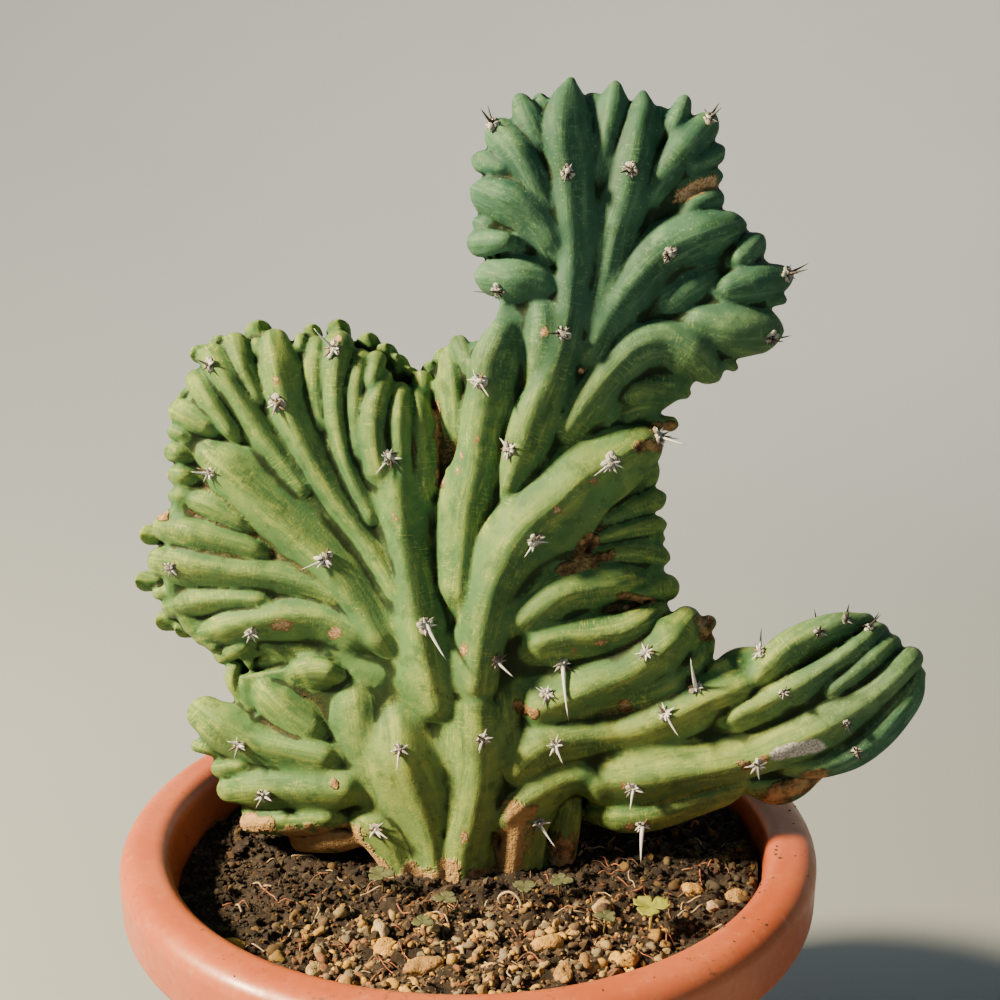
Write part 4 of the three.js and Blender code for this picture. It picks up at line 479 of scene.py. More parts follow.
def rib_lines(index, drawn):
    """A rib's fine stations: a dict of arrays, with the front and back depth at each."""
    p = np.array(drawn["path"], float)
    stand, lean, back, proud = drawn["stand"], drawn["lean"], drawn["back"], drawn["proud"]
    knots = np.concatenate([[0], np.cumsum(np.hypot(*(p[1:, :2] - p[:-1, :2]).T))])
    at = np.linspace(0, knots[-1], max(5, int(knots[-1] / STATION_STEP)))
    x, z, w = spline(p, knots, at).T
    w = np.maximum(w, 1.5)
    t = np.stack([np.gradient(x, at), np.gradient(z, at)], -1)
    t /= np.linalg.norm(t, axis=1)[:, None]
    n = np.stack([-t[:, 1], t[:, 0]], -1)
    half, widest = thickness(x, z), p[:, 2].max()
    sink = 0.55 * (widest - w)
    taper = 1 + 0 * at if proud else 1 - 0.62 * soft((at - knots[-1] + 20) / 20)
    w = w * taper
    run = at + 0.95 * p[0, 2]
    length = proud or TIP_LENGTH
    full = swell(run, length)

    def uneven(first):
        return np.interp(at, knots, [chance(index, first + i) for i in range(len(p))])

    front = (half + stand - sink) * full
    fan_back = half - 1 + min(0, stand) * 0.6 - sink + 1.5 * uneven(0)
    rear = (back + 0 * half if back else fan_back) * full
    if not proud:
        # the base sinks to the cores over the last station
        q = soft((at - knots[-2]) / (knots[-1] - knots[-2]))
        root = half - DEEP + 1.5
        front = np.where(front > root, front + (root - front) * q, front)
        rear = np.where(rear > root, rear + (root - rear) * q, rear)
    crown = p[0, 1] > CROWN_FOOT and p[0, 0] > 0
    return {
        "x": x, "z": z, "w": w, "t": t, "n": n, "taper": taper, "run": run, "front": front, "back": rear,
        "shift": (lean[0] * n[:, 0] + lean[1] * n[:, 1]) * w * 0.7,
        "backShift": 0 * w if back else 2.2 * (uneven(40) - 0.5), "middle": middle(x, z),
        "less": 1.06 * w, "more": 1.06 * w, "footLess": 1 + 0 * w, "footMore": 1 + 0 * w,
        "sharp": ramp((widest - 3) / 2) * (0.6 if crown else 1), "widest": widest, "old": aged(x, z),
        "length": length, "crown": crown,
    }


def rings_of(s, scale=1.0, depth=1.0, push=0.0):
    """Sections of a rib, one a station: a roof in front and one behind. A sharp roof runs
    straight down from its rounded ridge and turns in steeply at its foot."""
    a = circle(RIB_SIDES)
    v, top, ahead = np.sin(a), np.abs(np.cos(a)), (np.cos(a) > 1e-9)[None]
    f, b = s["front"] * depth, s["back"] * depth
    w = np.where(v[None] < 0, s["less"][:, None], s["more"][:, None]) * scale
    narrow = s["w"][:, None] * scale
    slope = STEEP - 0.22 * s["old"][:, None]
    foot = np.where(v[None] < 0, s["footLess"][:, None], s["footMore"][:, None])
    turn_in = 0.45 * foot * narrow * np.abs(v[None]) ** 12
    straight = slope * (np.hypot(v[None] * w, 0.28 * narrow) - 0.28 * narrow) + turn_in
    fall = straight * s["sharp"] + ROOF * w * (1 - top) * (1 - s["sharp"])
    fall = np.minimum(fall, (f + b)[:, None] / 2)
    u = v[None] * w + top[None] * np.where(ahead, s["shift"][:, None], s["backShift"][:, None]) * scale
    d = np.where(ahead, fall - f[:, None], b[:, None] - fall)
    x = s["x"][:, None] + u * s["n"][:, :1] - push * s["t"][:, :1]
    z = s["z"][:, None] + u * s["n"][:, 1:] - push * s["t"][:, 1:]
    return seen(x, z, s["middle"][:, None] + d)


def only(s, part):
    """The stations of a rib that the slice part picks."""
    return {k: (v[part] if isinstance(v, np.ndarray) else v) for k, v in s.items()}


def rib_shape(shell, s):
    """A rib's closed form. Its tip is pointed high up on the right, and round elsewhere."""
    tip, tip_reach = only(s, slice(0, 1)), 0.95 * s["w"][0]
    power = 1.5 if s["x"][0] > 5 and s["widest"] > 4.3 and s["z"][0] > 300 else 2
    caps, ends = [], []
    for q in (0.985, 0.92, 0.82, 0.7, 0.55, 0.38, 0.2):
        depth = swell(tip_reach * (1 - q), s["length"]) / swell(tip_reach, s["length"])
        caps.append(rings_of(tip, (1 - q**power) ** (1 / power), depth, tip_reach * q))
    base, base_reach = only(s, slice(-1, None)), -1.5 * s["w"][-1]
    for q in (0.2, 0.4, 0.6, 0.78, 0.92):
        scale = math.sqrt(1 - q * q)
        ends.append(rings_of(base, scale, 0.45 + 0.55 * scale, base_reach * q))

    def end(i, push):
        depth = s["middle"][i] + (s["back"][i] - s["front"][i]) / 2
        return seen(s["x"][i] - push * s["t"][i, 0], s["z"][i] - push * s["t"][i, 1], depth)

    shell.loft(np.concatenate(caps + [rings_of(s)] + ends), end(0, 0.96 * s["w"][0]), end(-1, base_reach))


def web(shell, s):
    """A thin leaf in the middle of the fan that closes the gaps to a rib's neighbours."""
    deepest = np.maximum(thickness(s["x"], s["z"]) - 7.5, 2.5)
    cover = np.maximum(1.5, 0.75 * s["w"])
    corners = []
    for side, key, ahead in ((-1, "less", True), (-1, "less", False), (1, "more", False), (1, "more", True)):
        u = side * s[key + "Web"]
        depth = np.minimum(deepest, s["front" if ahead else "back"] - cover)
        d = s["middle"] + (-depth if ahead else depth)
        corners.append(seen(s["x"] + u * s["n"][:, 0], s["z"] + u * s["n"][:, 1], d))
    rings = np.stack(corners, 1)[3:-1]
    if len(rings) > 2:
        shell.loft(rings, rings[0].mean(0), rings[-1].mean(0))


def even(v):
    """v smoothed along a rib."""
    kernel = np.hanning(25)[1:-1] / np.hanning(25).sum()
    return np.convolve(np.pad(v, 11, mode="edge"), kernel, "valid")


def slow_rise(v, most=0.06):
    """v kept from growing faster than most a station, either way along the rib."""
    for way in (v, v[::-1]):
        for j in range(1, len(way)):
            way[j] = min(way[j], way[j - 1] + most)


def meet(lines):
    """Widens each rib on both sides until it meets its neighbours in thin creases."""
    x, z, w, f = (np.concatenate([s[k] for s in lines]) for k in ("x", "z", "w", "front"))
    owner = np.repeat(np.arange(len(lines)), [len(s["x"]) for s in lines])
    for i, s in enumerate(lines):
        dx, dz = x[None] - s["x"][:, None], z[None] - s["z"][:, None]
        along = dx * s["t"][:, :1] + dz * s["t"][:, 1:]
        across = dx * s["n"][:, :1] + dz * s["n"][:, 1:]
        gap, mine, start = np.abs(across), s["w"][:, None], s["run"][0]
        near = (np.abs(along) < 1.8) & (owner != i)[None] & (gap > 0.6 * mine) & (gap < 4 * mine + 6)
        share = mine / (mine + w[None]) + 0.035 * (s["front"][:, None] - f[None])
        half = gap * np.clip(share, 0.35, 0.78)
        wide = np.maximum(soft((s["run"] - 24) / 40), ramp((s["w"] - 7) / 2)) * ramp((s["widest"] - 3) / 2)
        wide = wide * (0.3 if s["crown"] else 1)
        own = s["w"] / s["taper"]
        for side, key, foot in ((-1, "less", "footLess"), (1, "more", "footMore")):
            one = near & (across * side > 0)
            m = np.where(one, half, 1e3).min(1)
            far = np.where(one, gap, 1e3).min(1)
            none = m > 999
            thin = np.where(none, 1.06 * own, np.clip(1.1 * m, 0.95 * own, 1.6 * own))
            broad = np.where(none, 1.06 * own, np.clip(0.9 * far, own, 2.1 * own))
            v = even((thin + (broad - thin) * wide) / own)
            slow_rise(v)
            v = 1.04 + (v - 1.04) * soft((s["run"] - start + 2) / 14)
            s[key] = np.maximum(v, 0.95) * own * s["taper"]
            s[foot] = even(np.maximum(none, 1 - wide))
            s[key + "Web"] = np.where(none | (s["run"] < start + 7), 0.4 * own, np.minimum(0.62 * far, 15))


def core(shell, index, path):
    """The flesh between the ribs."""
    p = np.array(path, float)
    t = np.gradient(p[:, :2], axis=0)
    t /= np.linalg.norm(t, axis=1)[:, None]
    rings = []
    for i, (x, z, w) in enumerate(path):
        f = thickness(x, z) - DEEP + 1.5 + 0.7 * chance(index, i)
        b = thickness(x, z) - DEEP - 0.5
        u = w * np.array([-1, -0.85, 0.85, 1, 1, 0.85, -0.85, -1])
        d = np.array([-0.6 * f, -f, -f, -0.6 * f, 0.6 * b, b, b, 0.6 * b])
        rings.append(seen(x - u * t[i, 1], z + u * t[i, 0], middle(x, z) + d))
    first, last = (seen(x, z, middle(x, z)) for x, z, _ in (path[0], path[-1]))
    shell.loft(rings, first, last)


def back_tip(shell, x, z, w):
    """A small tip of the back row. Most point up, those on the left edge point left."""
    t, n, inward = ((1, 0), (0, 1), (14, 1)) if x < -100 else ((0, -1), (1, 0), (0, -14))
    q = np.array([0, 0.5, 1, 1.6, 2.2])
    none, one = np.zeros(5), np.ones(5)
    rib_shape(shell, {
        "x": x + q * inward[0], "z": z + q * inward[1], "t": np.tile(t, (5, 1)), "n": np.tile(n, (5, 1)),
        "w": w * np.interp(q, [0, 1, 2.2], [1, 1.1, 0.8]), "shift": none, "backShift": none,
        "front": np.full(5, -2.0), "back": np.interp(q, [0, 1, 2.2], [2 + 1.9 * w, 4 + 2 * w, 3]),
        "less": 1.05 * w * one, "more": 1.05 * w * one, "footLess": one, "footMore": one, "old": none,
        "middle": np.full(5, middle(x, z) + 2), "sharp": 0.5, "widest": 4, "length": 8,
    })


def root_plug(shell):
    bottom, top = SOIL_LEVEL - ROOT_DEPTH, SOIL_LEVEL - 14
    rings = [ring(40, z, 35 * k, 24 * k, 2, 1) for z, k in ((bottom, 0.82), (top, 1))]
    shell.loft(rings, (2, 1, bottom), (2, 1, top))


lines = [rib_lines(i, r) for i, r in enumerate(RIBS)]
meet(lines)
flesh = Shell()
for s in lines:
    rib_shape(flesh, s)
    web(flesh, s)
for i, path in enumerate(CORES):
    core(flesh, i, path)
for tip in BACK_TIPS:
    back_tip(flesh, *tip)
rib_shape(flesh, rib_lines(200, rib(-10, *LOBE_BEHIND, lean=(0, 0.3), back=15)))
root_plug(flesh)


# One skin round all of them
def with_modifier(me, kind, **props):
    """A mesh as a modifier leaves it."""
    ob = link("work", me)
    m = ob.modifiers.new("m", kind)
    for k, v in props.items():
        setattr(m, k, v)
    out = bpy.data.meshes.new_from_object(ob.evaluated_get(bpy.context.evaluated_depsgraph_get()))
    bpy.data.objects.remove(ob)
    return out


def arrays(me):
    """A mesh's points in millimetres, its edges and its normals."""
    co, no = np.empty(len(me.vertices) * 3), np.empty(len(me.vertices) * 3)
    me.vertices.foreach_get("co", co)
    me.vertices.foreach_get("normal", no)
    ed = np.empty(len(me.edges) * 2, int)
    me.edges.foreach_get("vertices", ed)
    return co.reshape(-1, 3) * 1000, ed.reshape(-1, 2), no.reshape(-1, 3)


def move_to(me, co):
    me.vertices.foreach_set("co", (co / 1000).ravel())
    me.update()


def around(values, ed):
    """Mean of each point's neighbours."""
    n = len(values)
    a, b = ed.T
    deg = np.maximum(np.bincount(a, minlength=n) + np.bincount(b, minlength=n), 1)
    if values.ndim == 1:
        return (np.bincount(a, values[b], n) + np.bincount(b, values[a], n)) / deg
    return np.stack([around(values[:, k], ed) for k in range(values.shape[1])], -1)


def to_plane(co):
    """The place on the outline plane that each point is seen at."""
    k = (co[:, 1] - EYE[1]) / -EYE[1]
    return EYE[0] + (co[:, 0] - EYE[0]) / k, EYE[2] + (co[:, 2] - EYE[2]) / k


def smoothed(co, ed, px, pz):
    """The growing edge keeps its crisp folds. The old trunk and the ribs' feet are smoothed more."""
    calm = aged(px, pz)
    for s, r in zip(lines, RIBS):
        if not r["proud"]:
            off = np.hypot(px - s["x"][-3], pz - s["z"][-3])
            calm = np.maximum(calm, 0.75 * soft(1.15 - off / (6 + 0.7 * s["widest"])))
    for step in (0.6, -0.55) * 2:
        co = co + (around(co, ed) - co) * step
    for x, z, r in CALM:
        calm = np.maximum(calm, soft(1.2 - np.hypot(px - x, pz - z) / r))
    for _ in range(12):
        co = co + (around(co, ed) - co) * (0.015 + 0.4 * calm)[:, None]
    return co


def melted(me, co, ed, px, pz):
    """In the old flesh the folds between ribs are grown shut: hollows fill up, ridges stay."""
    melt = np.maximum.reduce([0.9 * soft(1.25 - np.hypot((px - x) / a, (pz - z) / b)) for x, z, a, b in MELT])
    part = np.nonzero(melt > 0.02)[0]
    index = np.full(len(co), -1)
    index[part] = np.arange(len(part))
    local, weight = index[ed[(index[ed] >= 0).all(1)]], melt[part][:, None]
    for step in range(70):
        if step % 14 == 0:
            move_to(me, co)
            no = arrays(me)[2][part]
        move = around(co[part], local) - co[part]
        out = (move * no).sum(1)[:, None]
        co[part] += (move - np.minimum(out, 0) * no * 0.85) * 0.5 * weight
    return co


me = with_modifier(flesh.mesh("flesh"), "REMESH", mode="VOXEL", voxel_size=VOXEL / 1000)
co, ed, _ = arrays(me)
px, pz = to_plane(co)
move_to(me, melted(me, smoothed(co, ed, px, pz), ed, px, pz))
fewer = min(1, FLESH_TRIANGLES / sum(len(p.vertices) - 2 for p in me.polygons))
me = with_modifier(me, "DECIMATE", decimate_type="COLLAPSE", ratio=fewer, use_collapse_triangulate=True)

# What each point of the skin looks like, kept as point attributes for its material
co, ed, no = arrays(me)
px, pz = to_plane(co)
front_side = co[:, 1] < middle(px, pz)
# The hollow, crease and seam masks carry painted shade into the creases and hollows and a painted highlight
# onto the ridges.
wide = co.copy()
for step in range(12):
    wide = around(wide, ed) * 0.6 + wide * 0.4
    if step == 3:
        crease = ((wide - co) * no).sum(1)
hollow = ((wide - co) * no).sum(1)  # above 0 in a crease, below 0 on a ridge
for _ in range(3):
    crease = around(crease, ed)


def rib_places():
    """The rib that each point belongs to, its place [along, across, rib] on it, and how far
    that is from the rib's tip."""
    tree = KDTree(sum(2 * len(s["x"]) for s in lines))
    owner = []
    for i, s in enumerate(lines):
        for side, depth in ((-1, s["front"]), (1, s["back"])):
            for j, q in enumerate(seen(s["x"], s["z"], s["middle"] + side * (depth - 0.6 * s["w"]))):
                tree.insert(q, len(owner))
                owner.append((i, j))
    tree.balance()
    ribs, flow, run = np.zeros(len(co), int), np.zeros((len(co), 3)), np.zeros(len(co))
    for k, c in enumerate(co):
        near = [(*owner[o], dist) for _, o, dist in tree.find_n(c, 6)]
        i, j, _ = min(near, key=lambda q: q[2] / lines[q[0]]["w"][q[1]])
        s = lines[i]
        dx, dz, t, n = px[k] - s["x"][j], pz[k] - s["z"][j], s["t"][j], s["n"][j]
        flow[k] = (s["run"][j] + dx * t[0] + dz * t[1], dx * n[0] + dz * n[1], i * 9.0)
        ribs[k], run[k] = i, s["run"][j]
    return ribs, flow, run


def spots(places, back=False):
    """How near each point of one side is to any of the places [x, z, radius]."""
    near = np.zeros(len(co))
    for x, z, r in places:
        near = np.maximum(near, 1 - np.hypot(px - x, pz - z) / r)
    return ramp(near) * (front_side != back)


def streaks(places):
    """The same for lines [x, z, x, z, radius], on both sides."""
    near = np.zeros(len(co))
    for x0, z0, x1, z1, r in places:
        a, b = np.array([x0, z0]), np.array([x1, z1])
        q = np.stack([px, pz], -1) - a
        t = ramp(q @ (b - a) / ((b - a) @ (b - a)))
        near = np.maximum(near, 1 - np.hypot(*(q - t[:, None] * (b - a)).T) / r)
    return ramp(near)


ribs, flow, tip_run = rib_places()
border = np.zeros(len(co))
border[ed[ribs[ed[:, 0]] != ribs[ed[:, 1]]].ravel()] = 1
# where two ribs meet in a crease; the material paints shade along it
seam = ramp(2.2 * around(around(border, ed), ed)) * soft((hollow - 0.12) / 0.3)
# the crown is bluer, and so is the tip of the arm
crown_blue = soft((pz - 342 - 0.15 * np.abs(px - 60)) / 60) * soft((px + 14) / 14)
arm_blue = soft((px - 116) / 20) * soft((px - pz + 84) / 22)
arm_blue = np.maximum(arm_blue, 0.65 * soft((px - 112) / 36) * soft((pz - 222) / 14)) * (pz < 300)
# cork covers the foot of the trunk up to a ragged line
foot_line = 170 + 4 * np.sin(px / 5) + 2 * np.sin(px / 2.1 + 1) - 0.2 * np.maximum(0, -px - 18)
foot = 0.85 * soft((foot_line - pz) / 12) * (np.abs(px) < 52)
back_scars = [[x + 9 * math.sin(z), z + 7 * math.cos(x), r] for x, z, r in SCARS]
trunk_dust = soft((270 - pz) / 70) * soft((70 - np.abs(px)) / 40) * 0.48
skin_looks = {
    "hollow": hollow, "crease": crease, "seam": seam * soft((crease - 0.01) / 0.06),
    "inner": 1 - ramp(1.6 * around(np.maximum(border, around(border, ed)), ed)),
    "blue": np.maximum(crown_blue, arm_blue), "young": soft((26 - tip_run) / 22),
    "cork": np.maximum.reduce([streaks(CORK_LINES), spots(CORK_SPOTS), foot]), "tan": streaks(TAN_BARK),
    "scar": np.maximum(spots(SCARS) + spots(back_scars, back=True), streaks(WOUNDS)),
    "dust": np.maximum(streaks(DUST_LINES), trunk_dust),
    "chalk": streaks(CHALK_LINES), "dry": soft(2 * spots(DRY_CREASES)),
}
for name, value in skin_looks.items():
    me.attributes.new(name, "FLOAT", "POINT").data.foreach_set("value", value.astype(np.float32))
flow_look = me.attributes.new("flow", "FLOAT_VECTOR", "POINT")
flow_look.data.foreach_set("vector", (flow / 1000).astype(np.float32).ravel())


# Materials
class Nodes:
    """A short way to write a material's nodes."""

    def __init__(self, name, roughness=0.6):
        self.material = bpy.data.materials.new(name)
        self.material.use_nodes = True
        self.tree = self.material.node_tree
        self.shader = self.tree.nodes["Principled BSDF"]
        self.shader.inputs["Roughness"].default_value = roughness
        self.place = self.add("TexCoord").outputs["Object"]

    def add(self, kind, ins=(), **props):
        n = self.tree.nodes.new("ShaderNode" + kind)
        for k, v in props.items():
            setattr(n, k, v)
        for k, v in dict(ins).items():
            if isinstance(v, bpy.types.NodeSocket):
                self.tree.links.new(v, n.inputs[k])
            else:
                n.inputs[k].default_value = v
        return n

    def noise(self, size, detail=3.0, where=None, rough=0.55):
        """Noise with features of about size millimetres."""
        ins = {"Vector": where or self.place, "Scale": 1000 / size, "Detail": detail, "Roughness": rough}
        return self.add("TexNoise", ins).outputs["Fac"]

    def cells(self, size):
        return self.add("TexVoronoi", {"Vector": self.place, "Scale": 1000 / size}).outputs["Distance"]

    def value(self, name):
        """A point attribute of the skin."""
        return self.add("Attribute", attribute_name=name).outputs["Fac"]

    def span(self, v, low, high, to=(0, 1)):
        """v from low to high, turned smoothly into the two values of to."""
        ins = {"Value": v, "From Min": low, "From Max": high, "To Min": to[0], "To Max": to[1]}
        return self.add("MapRange", ins, interpolation_type="SMOOTHSTEP").outputs["Result"]

    def math(self, what, a, b):
        return self.add("Math", {0: a, 1: b}, operation=what).outputs[0]

    def times(self, a, b):
        return self.math("MULTIPLY", a, b)

    def plus(self, a, b):
        return self.math("ADD", a, b)

    def stretch(self, vector, by):
        return self.add("VectorMath", {0: vector, 1: by}, operation="MULTIPLY").outputs[0]

    def mix(self, amount, a, b, how="MIX"):
        """The colour a, with amount of b over it."""
        a, b = ((*c, 1) if isinstance(c, tuple) else c for c in (a, b))
        return self.add("Mix", {0: amount, 6: a, 7: b}, data_type="RGBA", blend_type=how).outputs[2]

    def tinted(self, colour):
        """colour, multiplied by the pieces' own."""
        tint = self.add("Attribute", attribute_name="tint").outputs["Color"]
        return self.mix(1.0, colour, tint, "MULTIPLY")

    def finish(self, colour, roughness=None, height=None, relief=0.3, strength=1.0):
        """The material with its colour cooled a little, and with relief millimetres of bump."""
        colour = self.mix(1.0, colour, (0.86, 1, 1.18), "MULTIPLY")
        self.tree.links.new(colour, self.shader.inputs["Base Color"])
        if roughness is not None:
            self.tree.links.new(roughness, self.shader.inputs["Roughness"])
        if height is not None:
            bump = self.add("Bump", {"Height": height, "Distance": relief / 1000, "Strength": strength})
            self.tree.links.new(bump.outputs["Normal"], self.shader.inputs["Normal"])
        return self.material


# painted shade: the near-black colour laid into seams and creases
PAINTED_CREASE_SHADE = (0.006, 0.014, 0.004)


def greens(n, mid):
    """Mottled green, fresher at the tips, bluer on the crown, with a painted highlight on the ridges and
    painted shade darkening the hollows.
    """
    big, hollow, blue, dust = n.noise(34, 2), n.value("hollow"), n.value("blue"), n.value("dust")
    green = n.mix(n.span(big, 0.35, 0.65), (0.05, 0.122, 0.042), (0.096, 0.19, 0.057))
    green = n.mix(n.times(dust, 0.75), green, (0.24, 0.3, 0.075))
    fresh = n.mix(n.span(mid, 0.35, 0.7), (0.03, 0.09, 0.027), (0.065, 0.145, 0.036))
    crown = n.mix(n.span(big, 0.38, 0.62), (0.02, 0.067, 0.042), (0.04, 0.102, 0.058))
    c = n.mix(n.times(n.value("young"), 0.75), green, fresh)
    c = n.mix(blue, c, crown)
    # painted highlight: the ridges lighter and yellower
    ridge = n.times(n.span(hollow, -0.05, -0.5), n.span(mid, 0.25, 0.65, (0.25, 0.8)))
    c = n.mix(n.times(ridge, 0.4), c, n.mix(blue, (0.27, 0.31, 0.068), (0.08, 0.18, 0.085)))
    # painted shade: the hollows darkened
    return n.mix(n.span(hollow, 0.05, 0.6, (0, 0.62)), c, (0.012, 0.036, 0.008))


def bloomed(n, c, mid, streak, flow):
    """Grey bloom in patches and along the ribs, darker blotches, strokes across and specks."""
    inner = n.value("inner")
    pale = n.mix(n.value("blue"), (0.32, 0.365, 0.07), (0.14, 0.25, 0.115))

    def patches(fine, low, high, broad, edge, top):
        return n.times(n.span(fine, low, high), n.times(n.span(n.noise(broad, 3), edge, top), inner))

    dusty = n.times(n.plus(n.value("dust"), 0.3), n.span(mid, 0.42, 0.7))
    c = n.mix(n.times(dusty, 0.5), c, pale)
    c = n.mix(n.times(n.span(streak, 0.5, 0.72), 0.5), c, pale)
    c = n.mix(n.times(n.span(streak, 0.5, 0.3), 0.45), c, (0.022, 0.062, 0.014))
    drawn = n.noise(1.3, 4, n.stretch(flow, (0.3, 1, 1)), 0.75)
    c = n.mix(n.times(patches(drawn, 0.5, 0.64, 13, 0.4, 0.62), 0.52), c, pale)
    c = n.mix(n.times(n.span(n.noise(8, 4, rough=0.65), 0.52, 0.68), 0.5), c, (0.026, 0.07, 0.022))
    strokes = n.noise(0.9, 3, n.stretch(flow, (1, 0.22, 1)), 0.7)
    c = n.mix(n.times(patches(strokes, 0.52, 0.66, 19, 0.45, 0.6), 0.58), c, pale)
    specks = n.times(n.span(n.cells(2.2), 0.2, 0.08), n.span(mid, 0.45, 0.6))
    return n.mix(n.times(specks, 0.3), c, (0.45, 0.52, 0.3))


def creased(n, c, mid, fibre):
    """Painted shade in seams and creases, brown where a crease is dry, and the chalky scar of the arm."""
    # painted shade along the seams where ribs meet
    c = n.mix(n.span(n.value("seam"), 0.2, 0.8, (0, 0.75)), c, PAINTED_CREASE_SHADE)
    dry = n.times(n.value("dry"), n.span(fibre, 0.45, 0.6))
    # painted shade in the creases, mixed with the real brown of dry creases
    c = n.mix(n.span(n.value("crease"), 0.05, 0.26), c, n.mix(dry, PAINTED_CREASE_SHADE, (0.16, 0.065, 0.03)))
    chalk = n.value("chalk")
    chalk = n.plus(chalk, n.times(n.span(mid, 0.3, 0.7, (-0.3, 0.3)), chalk))
    white = n.mix(n.span(fibre, 0.4, 0.6), (0.28, 0.25, 0.2), (0.58, 0.55, 0.48))
    return n.mix(n.span(chalk, 0.25, 0.5), c, white)


def scarred(n, c, mid, fibre):
    """Healed scars with a tan rim."""
    ragged = n.plus(n.span(mid, 0.3, 0.7, (-0.25, 0.25)), n.span(fibre, 0.3, 0.7, (-0.12, 0.12)))
    scar = n.value("scar")
    scar = n.plus(scar, n.times(ragged, n.span(scar, 0.0, 0.25)))
    c = n.mix(n.span(scar, 0.22, 0.36), c, (0.2, 0.12, 0.045))
    healed = n.mix(n.span(fibre, 0.38, 0.62), (0.3, 0.15, 0.06), (0.52, 0.34, 0.19))
    return n.mix(n.span(scar, 0.4, 0.55), c, healed)


def corked(n, c, corky, streak):
    """Brown bark, tan in places, with painted shade in its hollows."""
    tan = n.value("tan")
    depth = n.plus(n.noise(6, 5, rough=0.7), n.times(tan, 0.3))
    bark = n.mix(n.span(depth, 0.35, 0.62), (0.07, 0.036, 0.016), (0.42, 0.235, 0.09))
    bark = n.mix(n.span(streak, 0.55, 0.72), bark, (0.42, 0.29, 0.17))
    bark = n.mix(n.times(tan, n.span(n.noise(2.4, 4), 0.35, 0.65, (0.05, 0.55))), bark, (0.56, 0.34, 0.14))
    c = n.mix(corky, c, bark)
    # painted shade: the bark darkened in its hollows
    return n.mix(n.times(corky, n.span(n.value("hollow"), 0.05, 0.6)), c, (0.02, 0.011, 0.006))


def flesh_material():
    n = Nodes("cactus_skin")
    n.shader.inputs["Specular IOR Level"].default_value = 0.18
    flow = n.add("Attribute", attribute_name="flow").outputs["Vector"]
    mid, fibre = n.noise(7, 4, rough=0.6), n.noise(0.9, 3, rough=0.6)
    # the streaks stop short of the creases, where one rib's run meets another's
    streak = n.noise(2.6, 4, n.stretch(flow, (0.1, 1, 1)), 0.65)
    streak = n.plus(n.times(n.math("SUBTRACT", streak, 0.5), n.value("inner")), 0.5)
    cork = n.value("cork")
    uneven = n.times(n.span(mid, 0.25, 0.75, (-0.35, 0.35)), n.span(cork, 0.0, 0.2))
    corky = n.span(n.plus(cork, uneven), 0.12, 0.5)
    c = bloomed(n, greens(n, mid), mid, streak, flow)
    c = scarred(n, creased(n, c, mid, fibre), mid, fibre)
    c = corked(n, c, corky, streak)
    rough = n.math("MAXIMUM", n.span(mid, 0.3, 0.7, (0.56, 0.72)), n.times(corky, 0.9))
    bark_height = n.times(corky, n.plus(n.noise(1.8, 3, rough=0.7), streak))
    fine = n.plus(n.times(streak, 0.4), n.times(fibre, 0.3))
    return n.finish(c, rough, n.plus(fine, n.times(bark_height, 3.0)), 0.5, 0.9)


def plain(name, colour, other, size, roughness, relief):
    """A two-tone mottled material whose colour is multiplied by the pieces' own."""
    n = Nodes(name, roughness)
    c = n.mix(n.span(n.noise(size, 5, rough=0.65), 0.3, 0.7), colour, other)
    rough = n.span(n.noise(size * 2), 0.3, 0.7, (roughness - 0.1, roughness + 0.1))
    return n.finish(n.tinted(c), rough, n.noise(size / 3, 4), relief)


def pot_material():
    """Smooth terracotta-coloured plastic with faint mottling and a little dirt."""
    n = Nodes("pot_plastic")
    c = n.mix(n.span(n.noise(40, 4), 0.35, 0.65), (0.4, 0.08, 0.026), (0.45, 0.102, 0.036))
    mottle = n.times(n.span(n.noise(5, 4, rough=0.7), 0.52, 0.75), 0.14)
    c = n.mix(mottle, c, (0.66, 0.36, 0.22))
    dirt = n.times(n.span(n.noise(3.2, 5, rough=0.75), 0.56, 0.66), n.span(n.noise(46, 2), 0.5, 0.62))
    c = n.mix(n.times(dirt, 0.75), c, (0.11, 0.05, 0.028))
    low = n.span(n.add("SeparateXYZ", {0: n.place}).outputs["Z"], 0.06, 0.0)
    c = n.mix(n.times(low, 0.35), c, (0.36, 0.14, 0.08))
    rough = n.span(n.noise(7, 4, rough=0.7), 0.3, 0.75, (0.3, 0.48))
    return n.finish(c, n.math("MAXIMUM", rough, n.times(dirt, 0.85)), n.noise(2.4, 4), 0.05)


def soil_material():
    n = Nodes("soil_crumb", 0.95)
    c = n.mix(n.span(n.noise(3, 5, rough=0.75), 0.35, 0.68), (0.005, 0.0035, 0.003), (0.03, 0.017, 0.009))
    c = n.mix(n.times(n.span(n.noise(28, 3), 0.42, 0.62), 0.3), c, (0.05, 0.028, 0.015))
    c = n.mix(n.span(n.cells(2.4), 0.22, 0.1), c, (0.1, 0.062, 0.034))
    return n.finish(c, None, n.noise(1.4, 4, rough=0.8), 0.9)


def leaf_material(name, light, deep):
    n = Nodes(name, 0.55)
    c = n.mix(n.span(n.noise(1.6, 4), 0.35, 0.7), light, deep)
    return n.finish(n.tinted(c), None, n.noise(0.8, 3), 0.08)


# The cactus
place("cactus_flesh", me, flesh_material(), ["cactus"])
# its skin in millimetres, for the spines that stand on it and the grains that keep out of it
hide = BVHTree.FromPolygons([tuple(c) for c in co], [tuple(p.vertices) for p in me.polygons])


